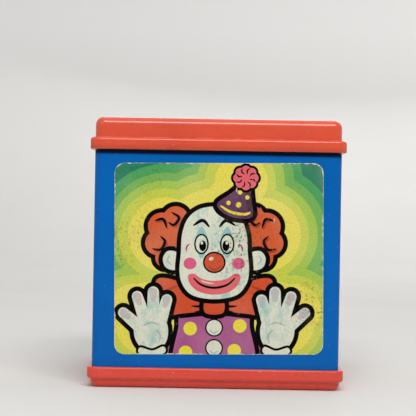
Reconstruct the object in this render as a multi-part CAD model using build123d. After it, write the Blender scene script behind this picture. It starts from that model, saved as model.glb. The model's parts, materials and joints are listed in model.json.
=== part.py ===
"""Jack in the box: a square moulded case with a hinged lid, a hand crank, a tune movement and a sprung clown.

Frame: millimetres, +Z up, origin at the centre of the base's underside. The lid latches at the front, -Y.
+Y is the hinge side and +X is the crank side.
"""
from build123d import *
import math
import os

# Driving dimensions of the case, lid and base.
CASE_HALF = 67.5
FLANGE_HALF = 70.0
WALL = 2.2
CASE_CORNER = 4.0
FLANGE_CORNER = 5.0
LID_STEP = 2.5
FOOT_STEP = 1.75
FOOT_HEIGHT = 4.7
FLANGE_HEIGHT = 6.5
LID_RISE = 11.2
TOTAL_HEIGHT = 147.4
FIT_GAP = 0.3

LID_BOTTOM = TOTAL_HEIGHT - LID_RISE - FLANGE_HEIGHT
LID_LEDGE = TOTAL_HEIGHT - LID_RISE
LID_ROOF = TOTAL_HEIGHT - WALL
CASE_INSIDE = CASE_HALF - WALL
CASE_TOP = LID_LEDGE - 2.0 - FIT_GAP
TRAY_FLOOR = 2.4
TRAY_TOP = FOOT_HEIGHT + FLANGE_HEIGHT
CASE_BOTTOM = 7.4
NECK_STEP = 1.1
NECK_BOTTOM = LID_BOTTOM - 0.3

# Printed labels, one on each side.
LABEL_WIDTH = 113.6
LABEL_HEIGHT = 104.1
LABEL_CORNER = 5.5
LABEL_THICK = 0.25
LABEL_HEIGHT_MID = 71.0
LABEL_TILT = {"front": -0.3, "right": 0.3, "back": 0.2, "left": 0.85}
LABEL_SHIFT = {"front": -0.4, "right": 0.3, "back": 0.5, "left": 1.1}
CRANK_HOLE_RADIUS = 9.0

# Screws.
SCREW_SPREAD = 57.0
POST_RADIUS = 4.5
POST_BOTTOM = 7.0
POST_TOP = 46.0
SCREW_RADIUS = 1.45
SCREW_HEAD_RADIUS = 2.9
SCREW_SLOT = 0.7
SCREW_SEAT_Z = 3.4
SCREW_BOSS_RADIUS = 6.0

# Lid hinge.
HINGE_Y = 68.2
HINGE_Z = 127.0
KNUCKLE_RADIUS = 1.8
HINGE_HALF_LENGTH = 22.0
LID_KNUCKLE_HALF = 11.8
HINGE_PIN_RADIUS = 0.8
HINGE_SLOT_GAP = 0.35

# Crank and tune movement, whose shafts lie along X.
CRANK_Y, CRANK_Z = 0.0, 60.0
GEAR_MODULE = 0.9
PINION_TEETH = 15
GEAR_TEETH = 45
PRESSURE_ANGLE = math.radians(25.0)
TOOTH_PLAY = 0.16
DRUM_Y = -20.0
CENTRES = GEAR_MODULE * (PINION_TEETH + GEAR_TEETH) / 2
DRUM_Z = CRANK_Z - math.sqrt(CENTRES ** 2 - (DRUM_Y - CRANK_Y) ** 2)
RUN_GAP = 0.06
CRANK_SHAFT_RADIUS = 2.5
DRUM_SHAFT_RADIUS = 1.5
OUTER_PLATE_X = (59.0, 61.0)
INNER_PLATE_X = (33.0, 35.0)
GEAR_X = (54.4, 57.6)
DRUM_X = (38.0, 54.0)
DRUM_RADIUS = 9.5
PEG_RADIUS = 0.35
PEG_HEIGHT = 1.0
COMB_TEETH = 14
COMB_PITCH = 1.1
CAM_X = (30.4, 32.4)
CAM_RADIUS = 13.0
CAM_REACH = 20.0
CAM_REST_ANGLE = -40.0
CRANK_THROW = 34.0
ARM_X = (70.0, 77.0)
KNOB_LENGTH = 24.0
KNOB_RADIUS = 7.0
KNOB_Z = CRANK_Z - CRANK_THROW

# Latch: a rocker on a cross pin, with a nose for the lid's keeper and a tail for the drum's cam.
LATCH_Y, LATCH_Z = -58.5, 98.0
LATCH_PIN_RADIUS = 1.25
LATCH_TUBE_RADIUS = 3.2
TAIL_X = (30.1, 32.5)
TAIL_ANGLE = math.radians(150.0)
TAIL_CLEARANCE = 0.35
NOSE_TIP_Y = -60.6
NOSE_TOP = 124.0
ARM_Y = (-58.8, -56.0)
KEEPER_Y = (-62.5, -61.0)

# Clown on its spring.
FIGURE_X = -4.0
SEAT_TOP = 5.4
SPRING_RADIUS = 15.0
WIRE_RADIUS = 0.8
SPRING_TURNS = 9
SPRING_HUB_RADIUS = 13.4
SPRING_HUB_HEIGHT = 4.0
SEAT_RADIUS = 22.0
CAP_BOTTOM = 41.0
CAP_TOP = 44.0
CAP_RADIUS = 20.0
COSTUME_RADIUS = 27.0
RUFF_RADIUS = 24.0
RUFF_TOP = 48.0
NECK_Z = 50.0
HEAD_Z = 74.0
HEAD_RADIUS = 28.0
HAIR_RADIUS = 12.5
HAT_BASE_Z = 94.0
HAT_BASE_RADIUS = 19.0
HAT_TIP_Z = 133.0
HAT_TILT = 6.0
TASSEL_RADIUS = 6.5
SHOULDER = (17.0, -14.5, 45.0)
HAND_SPREAD = 33.0
HAND_Y = -30.0
HAND_Z = 75.0
WRIST_DROP = 13.0

LOW = (Align.CENTER, Align.CENTER, Align.MIN)


def block(x0, x1, y0, y1, z0, z1):
    """Box between two corners."""
    return Pos(x0, y0, z0) * Box(x1 - x0, y1 - y0, z1 - z0, align=(Align.MIN, Align.MIN, Align.MIN))


def slab(half, corner, z0, z1):
    """Square plate with rounded corners, centred on Z."""
    return Pos(0, 0, z0) * extrude(RectangleRounded(2 * half, 2 * half, corner), z1 - z0)


def rod_z(radius, x, y, z0, z1):
    return Pos(x, y, z0) * Cylinder(radius, z1 - z0, align=LOW)


def rod_x(radius, x0, x1, y, z):
    return Pos(x0, y, z) * Rot(0, 90, 0) * Cylinder(radius, x1 - x0, align=LOW)


def rod_y(radius, x, y0, y1, z):
    return Pos(x, y0, z) * Rot(-90, 0, 0) * Cylinder(radius, y1 - y0, align=LOW)


def side_plate(points, x0, x1):
    """Plate with a straight-sided outline of (y, z) points, from x0 to x1."""
    return extrude(Plane.YZ.offset(x0) * make_face(Polyline(*points, close=True)), x1 - x0)


def coil(radius, wire, length, turns):
    """Round wire wound up the Z axis from the origin."""
    path = Helix(pitch=length / turns, height=length, radius=radius)
    ring = Plane(origin=path @ 0, z_dir=path % 0) * Circle(wire)
    return sweep(ring, path=path, is_frenet=True)


def screw_z(x, y, head_z, length, radius, head_radius, head_height):
    """Pan-head screw whose head sits below head_z and whose shank runs up."""
    head = rod_z(head_radius, x, y, head_z - head_height, head_z)
    head = fillet(head.edges().group_by(Axis.Z)[0], head_height * 0.4)
    slot = Pos(x, y, head_z - head_height) * Box(2 * head_radius + 1, SCREW_SLOT, 1.6)
    return head - slot + rod_z(radius, x, y, head_z, head_z + length)


def screw_x(x_head, y, z, length, radius, head_radius, head_height):
    """Pan-head screw whose head sits on the -X side of x_head and whose shank runs to +X."""
    head = rod_x(head_radius, x_head - head_height, x_head, y, z)
    slot = Pos(x_head - head_height, y, z) * Box(1.2, SCREW_SLOT, 2 * head_radius + 1)
    return head - slot + rod_x(radius, x_head, x_head + length, y, z)


# ---- case ----------------------------------------------------------------------------------------

def corner_places():
    return [(sx * SCREW_SPREAD, sy * SCREW_SPREAD) for sx in (-1, 1) for sy in (-1, 1)]


FRAME_SCREWS = [(-42.0, 23.0), (-42.0, 64.0), (21.0, 23.0), (21.0, 64.0)]
EAR_X = [(-11.5, -8.5), (34.0, 37.0)]
SPRING_PEG_Z = 84.0
TAIL_MID_X = sum(TAIL_X) / 2


def case_body():
    shell = slab(CASE_HALF, CASE_CORNER, CASE_BOTTOM, NECK_BOTTOM)
    shell += slab(CASE_HALF - NECK_STEP, CASE_CORNER - NECK_STEP, NECK_BOTTOM - 1, CASE_TOP)
    shell -= slab(CASE_INSIDE, CASE_CORNER - WALL, CASE_BOTTOM - 1, CASE_TOP + 1)
    slot_half = LID_KNUCKLE_HALF + HINGE_SLOT_GAP
    slot_z = [HINGE_Z + sign * (KNUCKLE_RADIUS + HINGE_SLOT_GAP) for sign in (-1, 1)]
    shell -= block(-slot_half, slot_half, CASE_INSIDE - 1, CASE_HALF + 1, *slot_z)
    shell -= block(-slot_half, slot_half, CASE_HALF - NECK_STEP, CASE_HALF + 1, HINGE_Z, LID_BOTTOM)
    for x, y in corner_places():
        reach_x, reach_y = math.copysign(CASE_INSIDE + 1, x), math.copysign(CASE_INSIDE + 1, y)
        post = rod_z(POST_RADIUS, x, y, POST_BOTTOM, POST_TOP)
        post += block(min(x, reach_x), max(x, reach_x), y - 1, y + 1, CASE_BOTTOM, POST_TOP - 4)
        post += block(x - 1, x + 1, min(y, reach_y), max(y, reach_y), CASE_BOTTOM, POST_TOP - 4)
        shell += post - rod_z(SCREW_RADIUS + 0.05, x, y, POST_BOTTOM - 1, POST_BOTTOM + 16)
    for y, z in FRAME_SCREWS:
        boss = rod_x(3.6, OUTER_PLATE_X[1], CASE_INSIDE + 1, y, z)
        shell += boss - rod_x(1.2, OUTER_PLATE_X[1] - 1, CASE_INSIDE - 0.4, y, z)
    for x0, x1 in EAR_X:
        shell += side_plate([(-CASE_INSIDE - 1, 91.0), (-CASE_INSIDE - 1, 105.0),
                             (-58.0, 102.5), (-54.8, 98.0), (-58.0, 93.5)], x0, x1)
    shell += rod_y(1.8, TAIL_MID_X, -CASE_INSIDE - 1, -CASE_INSIDE + 3.5, SPRING_PEG_Z)
    for sign in (-1, 1):
        x0, x1 = sorted((sign * slot_half, sign * HINGE_HALF_LENGTH))
        shell += rod_x(KNUCKLE_RADIUS, x0, x1, HINGE_Y, HINGE_Z)
    shell -= rod_x(HINGE_PIN_RADIUS + 0.02, -HINGE_HALF_LENGTH, HINGE_HALF_LENGTH, HINGE_Y, HINGE_Z)
    shell -= rod_x(LATCH_PIN_RADIUS + 0.03, -20, 45, LATCH_Y, LATCH_Z)
    shell -= rod_x(4.5, CASE_INSIDE - 1, CASE_HALF + 1, CRANK_Y, CRANK_Z)
    return shell


def base_tray():
    foot_half = FLANGE_HALF - FOOT_STEP
    foot = slab(foot_half, FLANGE_CORNER, 0, FOOT_HEIGHT)
    foot = fillet(foot.faces().sort_by(Axis.Z)[0].edges(), 4.0)
    flange = slab(FLANGE_HALF, FLANGE_CORNER, FOOT_HEIGHT, TRAY_TOP)
    flange = fillet(flange.faces().sort_by(Axis.Z)[0].edges(), 1.6)
    flange = fillet(flange.faces().sort_by(Axis.Z)[-1].edges(), 1.0)
    tray = foot + flange
    tray -= slab(foot_half - WALL, CASE_CORNER - WALL, TRAY_FLOOR, CASE_BOTTOM + 0.01)
    tray -= slab(CASE_HALF + 0.2, CASE_CORNER, CASE_BOTTOM, TRAY_TOP + 1)
    for x, y in corner_places():
        tray += rod_z(SCREW_BOSS_RADIUS, x, y, TRAY_FLOOR - 0.5, POST_BOTTOM)
        tray -= rod_z(SCREW_HEAD_RADIUS + 0.5, x, y, -1, SCREW_SEAT_Z)
        tray -= rod_z(SCREW_RADIUS + 0.15, x, y, SCREW_SEAT_Z - 1, POST_BOTTOM + 1)
    return tray


def base_screws():
    return [screw_z(x, y, SCREW_SEAT_Z, length=16.0, radius=SCREW_RADIUS, head_radius=SCREW_HEAD_RADIUS,
                    head_height=2.3) for x, y in corner_places()]


def label(side):
    """Thin printed sheet on one outer wall. The crank side's sheet has a hole round the crank."""
    turn = {"front": 0, "right": 90, "back": 180, "left": 270}[side]
    face = RectangleRounded(LABEL_WIDTH, LABEL_HEIGHT, LABEL_CORNER)
    sheet = Pos(LABEL_SHIFT[side], 0) * Rot(0, 0, LABEL_TILT[side]) * face
    if side == "right":
        sheet -= Pos(CRANK_Y, CRANK_Z - LABEL_HEIGHT_MID) * Circle(CRANK_HOLE_RADIUS)
    plane = Plane(origin=(0, -CASE_HALF, LABEL_HEIGHT_MID), x_dir=(1, 0, 0), z_dir=(0, -1, 0))
    return Rot(0, 0, turn) * extrude(plane * sheet, LABEL_THICK)


# ---- lid -----------------------------------------------------------------------------------------

KEEPER_SCREWS = [(-6.0, -54.0), (6.0, -54.0)]
KEEPER_FOOT_Z = (137.5, 139.0)


def lid_shell():
    rise_half = FLANGE_HALF - LID_STEP
    rise = slab(rise_half, FLANGE_CORNER, LID_LEDGE - 1, TOTAL_HEIGHT)
    rise = fillet(rise.faces().sort_by(Axis.Z)[-1].edges(), 4.3)
    flange = slab(FLANGE_HALF, FLANGE_CORNER, LID_BOTTOM, LID_LEDGE)
    flange = fillet(flange.faces().sort_by(Axis.Z)[-1].edges(), 1.7)
    flange = fillet(flange.faces().sort_by(Axis.Z)[0].edges(), 0.5)
    hollow = slab(rise_half - WALL, FLANGE_CORNER - WALL, LID_LEDGE - 3, LID_ROOF)
    hollow = fillet(hollow.faces().sort_by(Axis.Z)[-1].edges(), 2.0)
    lid = rise + flange - hollow
    neck_half, neck_corner = CASE_HALF - NECK_STEP + FIT_GAP, CASE_CORNER - NECK_STEP + FIT_GAP
    lid -= slab(neck_half, neck_corner, LID_BOTTOM - 1, CASE_TOP + FIT_GAP)
    for x, y in KEEPER_SCREWS:
        lid += rod_z(3.0, x, y, KEEPER_FOOT_Z[1], LID_ROOF + 0.5)
        lid -= rod_z(1.25, x, y, KEEPER_FOOT_Z[1] - 1, LID_ROOF - 1.0)
    half = LID_KNUCKLE_HALF
    lid += rod_x(KNUCKLE_RADIUS, -half, half, HINGE_Y, HINGE_Z)
    lid += block(-half, half, neck_half + 0.1, HINGE_Y + 1.6, HINGE_Z, LID_BOTTOM + 1)
    return lid - rod_x(HINGE_PIN_RADIUS + RUN_GAP, -half - 1, half + 1, HINGE_Y, HINGE_Z)


def hinge_pin():
    return rod_x(HINGE_PIN_RADIUS, -HINGE_HALF_LENGTH, HINGE_HALF_LENGTH, HINGE_Y, HINGE_Z)


def lid_keeper():
    """Pressed steel angle that hangs from the lid, with a window for the latch's nose."""
    foot = block(-10, 10, KEEPER_Y[0], -49.5, *KEEPER_FOOT_Z)
    tab = block(-8, 8, *KEEPER_Y, 116.5, KEEPER_FOOT_Z[1])
    window = block(-5.2, 5.2, KEEPER_Y[0] - 1, KEEPER_Y[1] + 1, 119.6, 124.8)
    keeper = foot + tab - window
    for x, y in KEEPER_SCREWS:
        keeper -= rod_z(1.4, x, y, KEEPER_FOOT_Z[0] - 1, KEEPER_FOOT_Z[1] + 1)
    return keeper


def keeper_screws():
    return [screw_z(x, y, KEEPER_FOOT_Z[0], length=5.0, radius=1.2, head_radius=2.4, head_height=1.6)
            for x, y in KEEPER_SCREWS]


# ---- latch ---------------------------------------------------------------------------------------

def tail_tip():
    reach = CAM_REACH + TAIL_CLEARANCE
    return DRUM_Y + reach * math.cos(TAIL_ANGLE), DRUM_Z + reach * math.sin(TAIL_ANGLE)


def latch_lever():
    tube = rod_x(LATCH_TUBE_RADIUS, -7.6, TAIL_X[1] + 0.6, LATCH_Y, LATCH_Z)
    arm = block(-4.5, 4.5, *ARM_Y, LATCH_Z, NOSE_TOP)
    nose = side_plate([(ARM_Y[1], NOSE_TOP - 3.2), (NOSE_TIP_Y, NOSE_TOP - 3.0), (NOSE_TIP_Y, NOSE_TOP - 1.6),
                       (ARM_Y[0], NOSE_TOP)], -4.5, 4.5)
    tip_y, tip_z = tail_tip()
    tail = side_plate([(LATCH_Y - 2.2, LATCH_Z - 1), (tip_y - 3.4, tip_z + 0.6), (tip_y, tip_z),
                       (tip_y + 0.6, tip_z + 2.0), (LATCH_Y + 2.4, LATCH_Z + 1)], *TAIL_X)
    lever = tube + arm + nose + tail
    return lever - rod_x(LATCH_PIN_RADIUS + RUN_GAP, -20, 45, LATCH_Y, LATCH_Z)


def latch_pin():
    return rod_x(LATCH_PIN_RADIUS, EAR_X[0][0] - 0.7, EAR_X[1][1] + 0.7, LATCH_Y, LATCH_Z)


def latch_spring():
    """Small compression spring that pushes the latch's tail inwards."""
    wound = coil(3.0, 0.35, 8.4, 4)
    return Pos(TAIL_MID_X, -CASE_INSIDE + 0.5, SPRING_PEG_Z) * Rot(-90, 0, 0) * wound


# ---- crank and movement --------------------------------------------------------------------------

def involute(angle):
    return math.tan(angle) - angle


def gear_face(teeth):
    """Spur gear outline with a tooth centred on its local X axis."""
    pitch_radius = GEAR_MODULE * teeth / 2
    base = pitch_radius * math.cos(PRESSURE_ANGLE)
    root, tip = pitch_radius - 1.2 * GEAR_MODULE, pitch_radius + 0.9 * GEAR_MODULE
    half_at_pitch = math.pi / (2 * teeth) - TOOTH_PLAY / (4 * pitch_radius)

    def half_angle(radius):
        slope = math.acos(min(1.0, base / max(radius, base)))
        return half_at_pitch + involute(PRESSURE_ANGLE) - involute(slope)

    levels = [root, max(root, base) + 0.15, pitch_radius, tip]
    flank = [(r, half_angle(r)) for r in levels]
    points = []
    for tooth in range(teeth):
        middle = 2 * math.pi * tooth / teeth
        rising = [(r, middle - h) for r, h in flank]
        falling = [(r, middle + h) for r, h in reversed(flank)]
        points += [(r * math.cos(a), r * math.sin(a)) for r, a in rising + falling]
    return make_face(Polyline(*points, close=True))


def gear(teeth, y, z, tooth_angle, bore):
    """Gear in the YZ plane with a tooth centred on tooth_angle, in degrees from +Y towards +Z."""
    face = Pos(y, z) * Rot(0, 0, tooth_angle) * (gear_face(teeth) - Circle(bore))
    return extrude(Plane.YZ.offset(GEAR_X[0]) * face, GEAR_X[1] - GEAR_X[0])


CENTRE_LINE = math.degrees(math.atan2(DRUM_Z - CRANK_Z, DRUM_Y - CRANK_Y))


def crank_pinion():
    pinion = gear(PINION_TEETH, CRANK_Y, CRANK_Z, CENTRE_LINE + 180 / PINION_TEETH, CRANK_SHAFT_RADIUS)
    hub = rod_x(4.4, 52.4, GEAR_X[0], CRANK_Y, CRANK_Z) - rod_x(CRANK_SHAFT_RADIUS, 50, 60, CRANK_Y, CRANK_Z)
    return pinion + hub


def drum_gear():
    wheel = gear(GEAR_TEETH, DRUM_Y, DRUM_Z, CENTRE_LINE + 180, DRUM_SHAFT_RADIUS)
    for k in range(5):
        angle = 2 * math.pi * k / 5
        wheel -= rod_x(4.0, 50, 60, DRUM_Y + 13.4 * math.cos(angle), DRUM_Z + 13.4 * math.sin(angle))
    return wheel


def tune_drum():
    """Drum whose pegs lift the comb's teeth, one ring of pegs to each tooth."""
    drum = rod_x(DRUM_RADIUS, *DRUM_X, DRUM_Y, DRUM_Z)
    pegs = []
    for ring in range(COMB_TEETH):
        x = comb_x(ring)
        for k in range(3):
            angle = math.radians(47 * ring + 120 * k + 31 * k * ring)
            peg = Cylinder(PEG_RADIUS, PEG_HEIGHT + 0.5, align=LOW)
            outward = Plane(origin=(x, DRUM_Y + (DRUM_RADIUS - 0.5) * math.cos(angle),
                                    DRUM_Z + (DRUM_RADIUS - 0.5) * math.sin(angle)),
                            z_dir=(0, math.cos(angle), math.sin(angle)))
            pegs.append(outward * peg)
    return drum + pegs - rod_x(DRUM_SHAFT_RADIUS, 30, 60, DRUM_Y, DRUM_Z)


def drum_shaft():
    return rod_x(DRUM_SHAFT_RADIUS, CAM_X[0] - 0.8, OUTER_PLATE_X[1] + 0.3, DRUM_Y, DRUM_Z)


def release_cam():
    """Disc with one lobe, which lifts the latch's tail once in each turn of the drum."""
    angle = math.radians(CAM_REST_ANGLE)
    spread = math.radians(7)

    def at(radius, offset):
        return DRUM_Y + radius * math.cos(angle + offset), DRUM_Z + radius * math.sin(angle + offset)

    lobe = side_plate([at(0, 0), at(CAM_RADIUS, -5 * spread), at(CAM_REACH, -spread),
                       at(CAM_REACH, spread), at(CAM_RADIUS, 5 * spread)], *CAM_X)
    cam = rod_x(CAM_RADIUS, *CAM_X, DRUM_Y, DRUM_Z) + lobe
    return cam - rod_x(DRUM_SHAFT_RADIUS, 20, 40, DRUM_Y, DRUM_Z)


COMB_Y = (DRUM_Y + DRUM_RADIUS + PEG_HEIGHT + 0.25, 11.0)
COMB_Z = (41.4, 42.4)
COMB_ROOT_Y = 1.5
BED_Y = (0.5, 11.5)
COMB_SCREWS = [(41.0, 6.5), (51.0, 6.5)]


def comb_x(tooth):
    """Middle of one comb tooth along X."""
    return sum(DRUM_X) / 2 + (tooth - (COMB_TEETH - 1) / 2) * COMB_PITCH


def tone_comb():
    """Flat steel comb: long low notes at one end, short high notes at the other."""
    half_tooth = COMB_PITCH / 2 - 0.13
    comb = block(comb_x(0) - half_tooth, comb_x(COMB_TEETH - 1) + half_tooth, *COMB_Y, *COMB_Z)
    for gap in range(COMB_TEETH - 1):
        x = (comb_x(gap) + comb_x(gap + 1)) / 2
        root = COMB_ROOT_Y - 4.0 * gap / (COMB_TEETH - 2)
        comb -= block(x - 0.13, x + 0.13, COMB_Y[0] - 1, root, COMB_Z[0] - 1, COMB_Z[1] + 1)
    for x, y in COMB_SCREWS:
        comb -= rod_z(1.3, x, y, COMB_Z[0] - 1, COMB_Z[1] + 1)
    return comb


def comb_screws():
    made = []
    for x, y in COMB_SCREWS:
        head = rod_z(2.2, x, y, COMB_Z[1], COMB_Z[1] + 1.3)
        head -= Pos(x, y, COMB_Z[1] + 1.3) * Box(6, 0.6, 1.0)
        made.append(head + rod_z(1.1, x, y, COMB_Z[0] - 4, COMB_Z[1]))
    return made


FRAME_FLOOR_Y = (-30.0, 11.5)
FRAME_FLOOR_Z = (18.0, 20.1)
BED_BOTTOM = 34.0


def movement_frame():
    """Chassis with two bearing plates, a floor and a bed for the comb, relieved round the gears."""
    outer = side_plate([(-46, 19), (25, 19), (25, 68), (-46, 68)], *OUTER_PLATE_X)
    outer = fillet(outer.edges().filter_by(Axis.X), 4.0)
    inner = side_plate([(-32, 18), (12, 18), (12, 48), (4, 56), (-24, 56), (-32, 48)], *INNER_PLATE_X)
    floor = block(INNER_PLATE_X[0], OUTER_PLATE_X[1], *FRAME_FLOOR_Y, *FRAME_FLOOR_Z)
    bed = block(INNER_PLATE_X[0], OUTER_PLATE_X[1], *BED_Y, BED_BOTTOM, COMB_Z[0])
    frame = outer + inner + floor + bed
    frame -= rod_x(DRUM_SHAFT_RADIUS + RUN_GAP, 30, 65, DRUM_Y, DRUM_Z)
    frame -= rod_x(CRANK_SHAFT_RADIUS + RUN_GAP, 55, 65, CRANK_Y, CRANK_Z)
    frame -= rod_x(4.9, GEAR_X[0] - 3, GEAR_X[1] + 0.3, CRANK_Y, CRANK_Z)
    gear_room = GEAR_MODULE * (GEAR_TEETH / 2 + 0.9) + 0.6
    frame -= rod_x(gear_room, GEAR_X[0] - 0.4, GEAR_X[1] + 0.4, DRUM_Y, DRUM_Z)
    for y, z in FRAME_SCREWS:
        frame -= rod_x(1.4, 55, 65, y, z)
    for x, y in COMB_SCREWS:
        frame -= rod_z(1.15, x, y, COMB_Z[0] - 5, COMB_Z[0] + 1)
    return frame


def frame_screws():
    return [screw_x(OUTER_PLATE_X[0], y, z, length=5.6, radius=1.15, head_radius=2.7, head_height=1.9)
            for y, z in FRAME_SCREWS]


def crank_bush():
    """Flanged bush that fills the hole in the case wall."""
    bush = rod_x(4.45, CASE_INSIDE - 0.6, CASE_HALF + 0.2, CRANK_Y, CRANK_Z)
    bush += rod_x(7.0, CASE_HALF, CASE_HALF + 1.6, CRANK_Y, CRANK_Z)
    bush = fillet(bush.faces().sort_by(Axis.X)[-1].edges(), 0.5)
    return bush - rod_x(CRANK_SHAFT_RADIUS + RUN_GAP, 60, 75, CRANK_Y, CRANK_Z)


def crank_shaft():
    shaft = rod_x(CRANK_SHAFT_RADIUS, 52.2, ARM_X[1] - 2.0, CRANK_Y, CRANK_Z)
    return chamfer(shaft.edges().filter_by(GeomType.CIRCLE), 0.3)


def crank_arm():
    """Moulded arm that hangs from the shaft, with a boss at each end."""
    outline = [(-4.6, CRANK_Z), (4.6, CRANK_Z), (3.6, KNOB_Z), (-3.6, KNOB_Z)]
    arm = side_plate(outline, ARM_X[0] + 1.4, ARM_X[1] - 1.4)
    arm += rod_x(7.0, *ARM_X, CRANK_Y, CRANK_Z)
    arm += rod_x(5.6, ARM_X[0] + 0.8, ARM_X[1], CRANK_Y, KNOB_Z)
    arm = fillet(arm.faces().filter_by(Axis.X).sort_by(Axis.X)[-1].edges(), 0.6)
    arm -= rod_x(CRANK_SHAFT_RADIUS, 60, ARM_X[1] - 2.0, CRANK_Y, CRANK_Z)
    arm -= rod_x(1.6, ARM_X[1] - 3, ARM_X[1] + 1, CRANK_Y, CRANK_Z)
    return arm - rod_x(2.0, 60, 90, CRANK_Y, KNOB_Z)


def crank_screw():
    """Screw that holds the arm on the shaft's end."""
    head = rod_x(3.2, ARM_X[1], ARM_X[1] + 1.8, CRANK_Y, CRANK_Z)
    head -= Pos(ARM_X[1] + 1.8, CRANK_Y, CRANK_Z) * Box(1.4, SCREW_SLOT, 8)
    return head + rod_x(1.5, ARM_X[1] - 2.0, ARM_X[1], CRANK_Y, CRANK_Z)


def knob_pin():
    head_x = ARM_X[1] + KNOB_LENGTH - 1.2
    pin = rod_x(1.95, ARM_X[0] + 0.8, head_x, CRANK_Y, KNOB_Z)
    return pin + rod_x(3.0, head_x, head_x + 1.2, CRANK_Y, KNOB_Z)


def crank_knob():
    """Barrel-shaped grip that turns on the knob pin."""
    x0, x1 = ARM_X[1] + 0.4, ARM_X[1] + KNOB_LENGTH + 1.0
    inner, outer = (x0, KNOB_RADIUS - 2.0), (x1, KNOB_RADIUS - 1.6)
    outline = Polyline((x1, 0), (x0, 0), inner)
    outline += ThreePointArc(inner, ((x0 + x1) / 2, KNOB_RADIUS), outer)
    outline += Line(outer, (x1, 0))
    grip = revolve(make_face(outline), Axis.X)
    grip = fillet(grip.edges().filter_by(GeomType.CIRCLE), 0.9)
    grip -= Pos(x0, 0, 0) * Rot(0, 90, 0) * Cylinder(2.0 + RUN_GAP, 60, align=LOW)
    grip -= Pos(x1 - 2.6, 0, 0) * Rot(0, 90, 0) * Cylinder(3.3, 10, align=LOW)
    return Pos(0, CRANK_Y, KNOB_Z) * grip


# ---- clown ---------------------------------------------------------------------------------------

SEAT_SCREW_CIRCLE = 9.0
SEAT_SCREWS = [(FIGURE_X + SEAT_SCREW_CIRCLE * math.cos(math.radians(120 * k)),
                SEAT_SCREW_CIRCLE * math.sin(math.radians(120 * k))) for k in range(3)]


def spring_seat():
    seat = rod_z(SEAT_RADIUS, FIGURE_X, 0, TRAY_FLOOR, SEAT_TOP)
    seat += rod_z(SPRING_HUB_RADIUS, FIGURE_X, 0, SEAT_TOP, SEAT_TOP + SPRING_HUB_HEIGHT)
    seat = fillet(seat.faces().sort_by(Axis.Z)[-1].edges(), 0.8)
    for x, y in SEAT_SCREWS:
        seat -= rod_z(1.4, x, y, 0, 20)
    return seat


def seat_screws():
    made = []
    hub_top = SEAT_TOP + SPRING_HUB_HEIGHT
    for x, y in SEAT_SCREWS:
        head = rod_z(2.6, x, y, hub_top, hub_top + 1.8)
        head -= Pos(x, y, hub_top + 1.8) * Box(6, SCREW_SLOT, 1.4)
        made.append(head + rod_z(1.3, x, y, TRAY_FLOOR + 0.05, hub_top))
    return made


def body_spring():
    length = CAP_BOTTOM - SEAT_TOP - 2 * WIRE_RADIUS - 0.2
    wound = coil(SPRING_RADIUS, WIRE_RADIUS, length, SPRING_TURNS)
    return Pos(FIGURE_X, 0, SEAT_TOP + WIRE_RADIUS + 0.1) * wound


def spring_cap():
    cap = rod_z(CAP_RADIUS, FIGURE_X, 0, CAP_BOTTOM, CAP_TOP)
    cap += rod_z(SPRING_HUB_RADIUS, FIGURE_X, 0, CAP_BOTTOM - SPRING_HUB_HEIGHT, CAP_BOTTOM)
    cap += rod_z(6.0, FIGURE_X, 0, CAP_TOP, NECK_Z + 2)
    return fillet(cap.faces().sort_by(Axis.Z)[-1].edges(), 1.5)


def costume():
    """Cloth sleeve round the spring, gathered to the folded length."""
    body = rod_z(COSTUME_RADIUS, FIGURE_X, 0, SEAT_TOP + 0.3, CAP_TOP - 0.4)
    body = fillet(body.edges().filter_by(GeomType.CIRCLE), 4.0)
    return body - rod_z(CAP_RADIUS + 0.2, FIGURE_X, 0, 0, 60)


def ruff_collar():
    ruff = rod_z(RUFF_RADIUS, FIGURE_X, 0, CAP_TOP + 0.2, RUFF_TOP) - rod_z(17.0, FIGURE_X, 0, CAP_TOP, 60)
    return fillet(ruff.edges().filter_by(GeomType.CIRCLE).group_by(SortBy.RADIUS)[-1], 1.6)


def bow_tie():
    half = [(0, -1.9), (4, -2.2), (16, -5.0), (17.5, 0), (16, 5.0), (4, 2.2), (0, 1.9)]
    outline = half + [(-x, z) for x, z in reversed(half[1:-1])]
    plane = Plane(origin=(FIGURE_X, -24.6, 49.4), x_dir=(1, 0, 0), z_dir=(0, -1, 0))
    wings = extrude(plane * make_face(Polyline(*outline, close=True)), 4.0)
    return wings + extrude(plane * RectangleRounded(8, 7.4, 2.5), 5.4)


def hand_middle(side):
    return FIGURE_X + side * HAND_SPREAD, HAND_Y, HAND_Z


def arm_line(side):
    """Ends of one arm: the shoulder and the wrist."""
    x, y, z = hand_middle(side)
    shoulder = Vector(FIGURE_X + side * SHOULDER[0], SHOULDER[1], SHOULDER[2])
    return shoulder, Vector(x - side * 5.0, y + 1.0, z - WRIST_DROP)


def sleeve(side):
    start, end = arm_line(side)
    along = Plane(origin=start, z_dir=end - start)
    tube = along * Cone(4.6, 6.0, (end - start).length, align=LOW)
    tube -= rod_z(RUFF_RADIUS + 0.3, FIGURE_X, 0, 30, RUFF_TOP + 0.3)
    return tube - rod_z(COSTUME_RADIUS + 0.3, FIGURE_X, 0, 0, CAP_TOP)


def hand(side):
    """Mitten-shaped hand with its palm to the front."""
    x, y, z = hand_middle(side)
    palm = Pos(x, y, z) * Box(17, 8, 22)
    palm = fillet(palm.edges(), 3.4)
    start, end = arm_line(side)
    cuff = Plane(origin=end, z_dir=start - end)
    return palm - cuff * Cylinder(12.0, 30, align=LOW)


def neck_plug():
    plug = rod_z(8.6, FIGURE_X, 0, NECK_Z + 2.8, NECK_Z + 10)
    return fillet(plug.edges().filter_by(GeomType.CIRCLE), 1.2)


def head_ball(extra=0.0):
    return Pos(FIGURE_X, 0, HEAD_Z) * Sphere(HEAD_RADIUS + extra)


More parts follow.
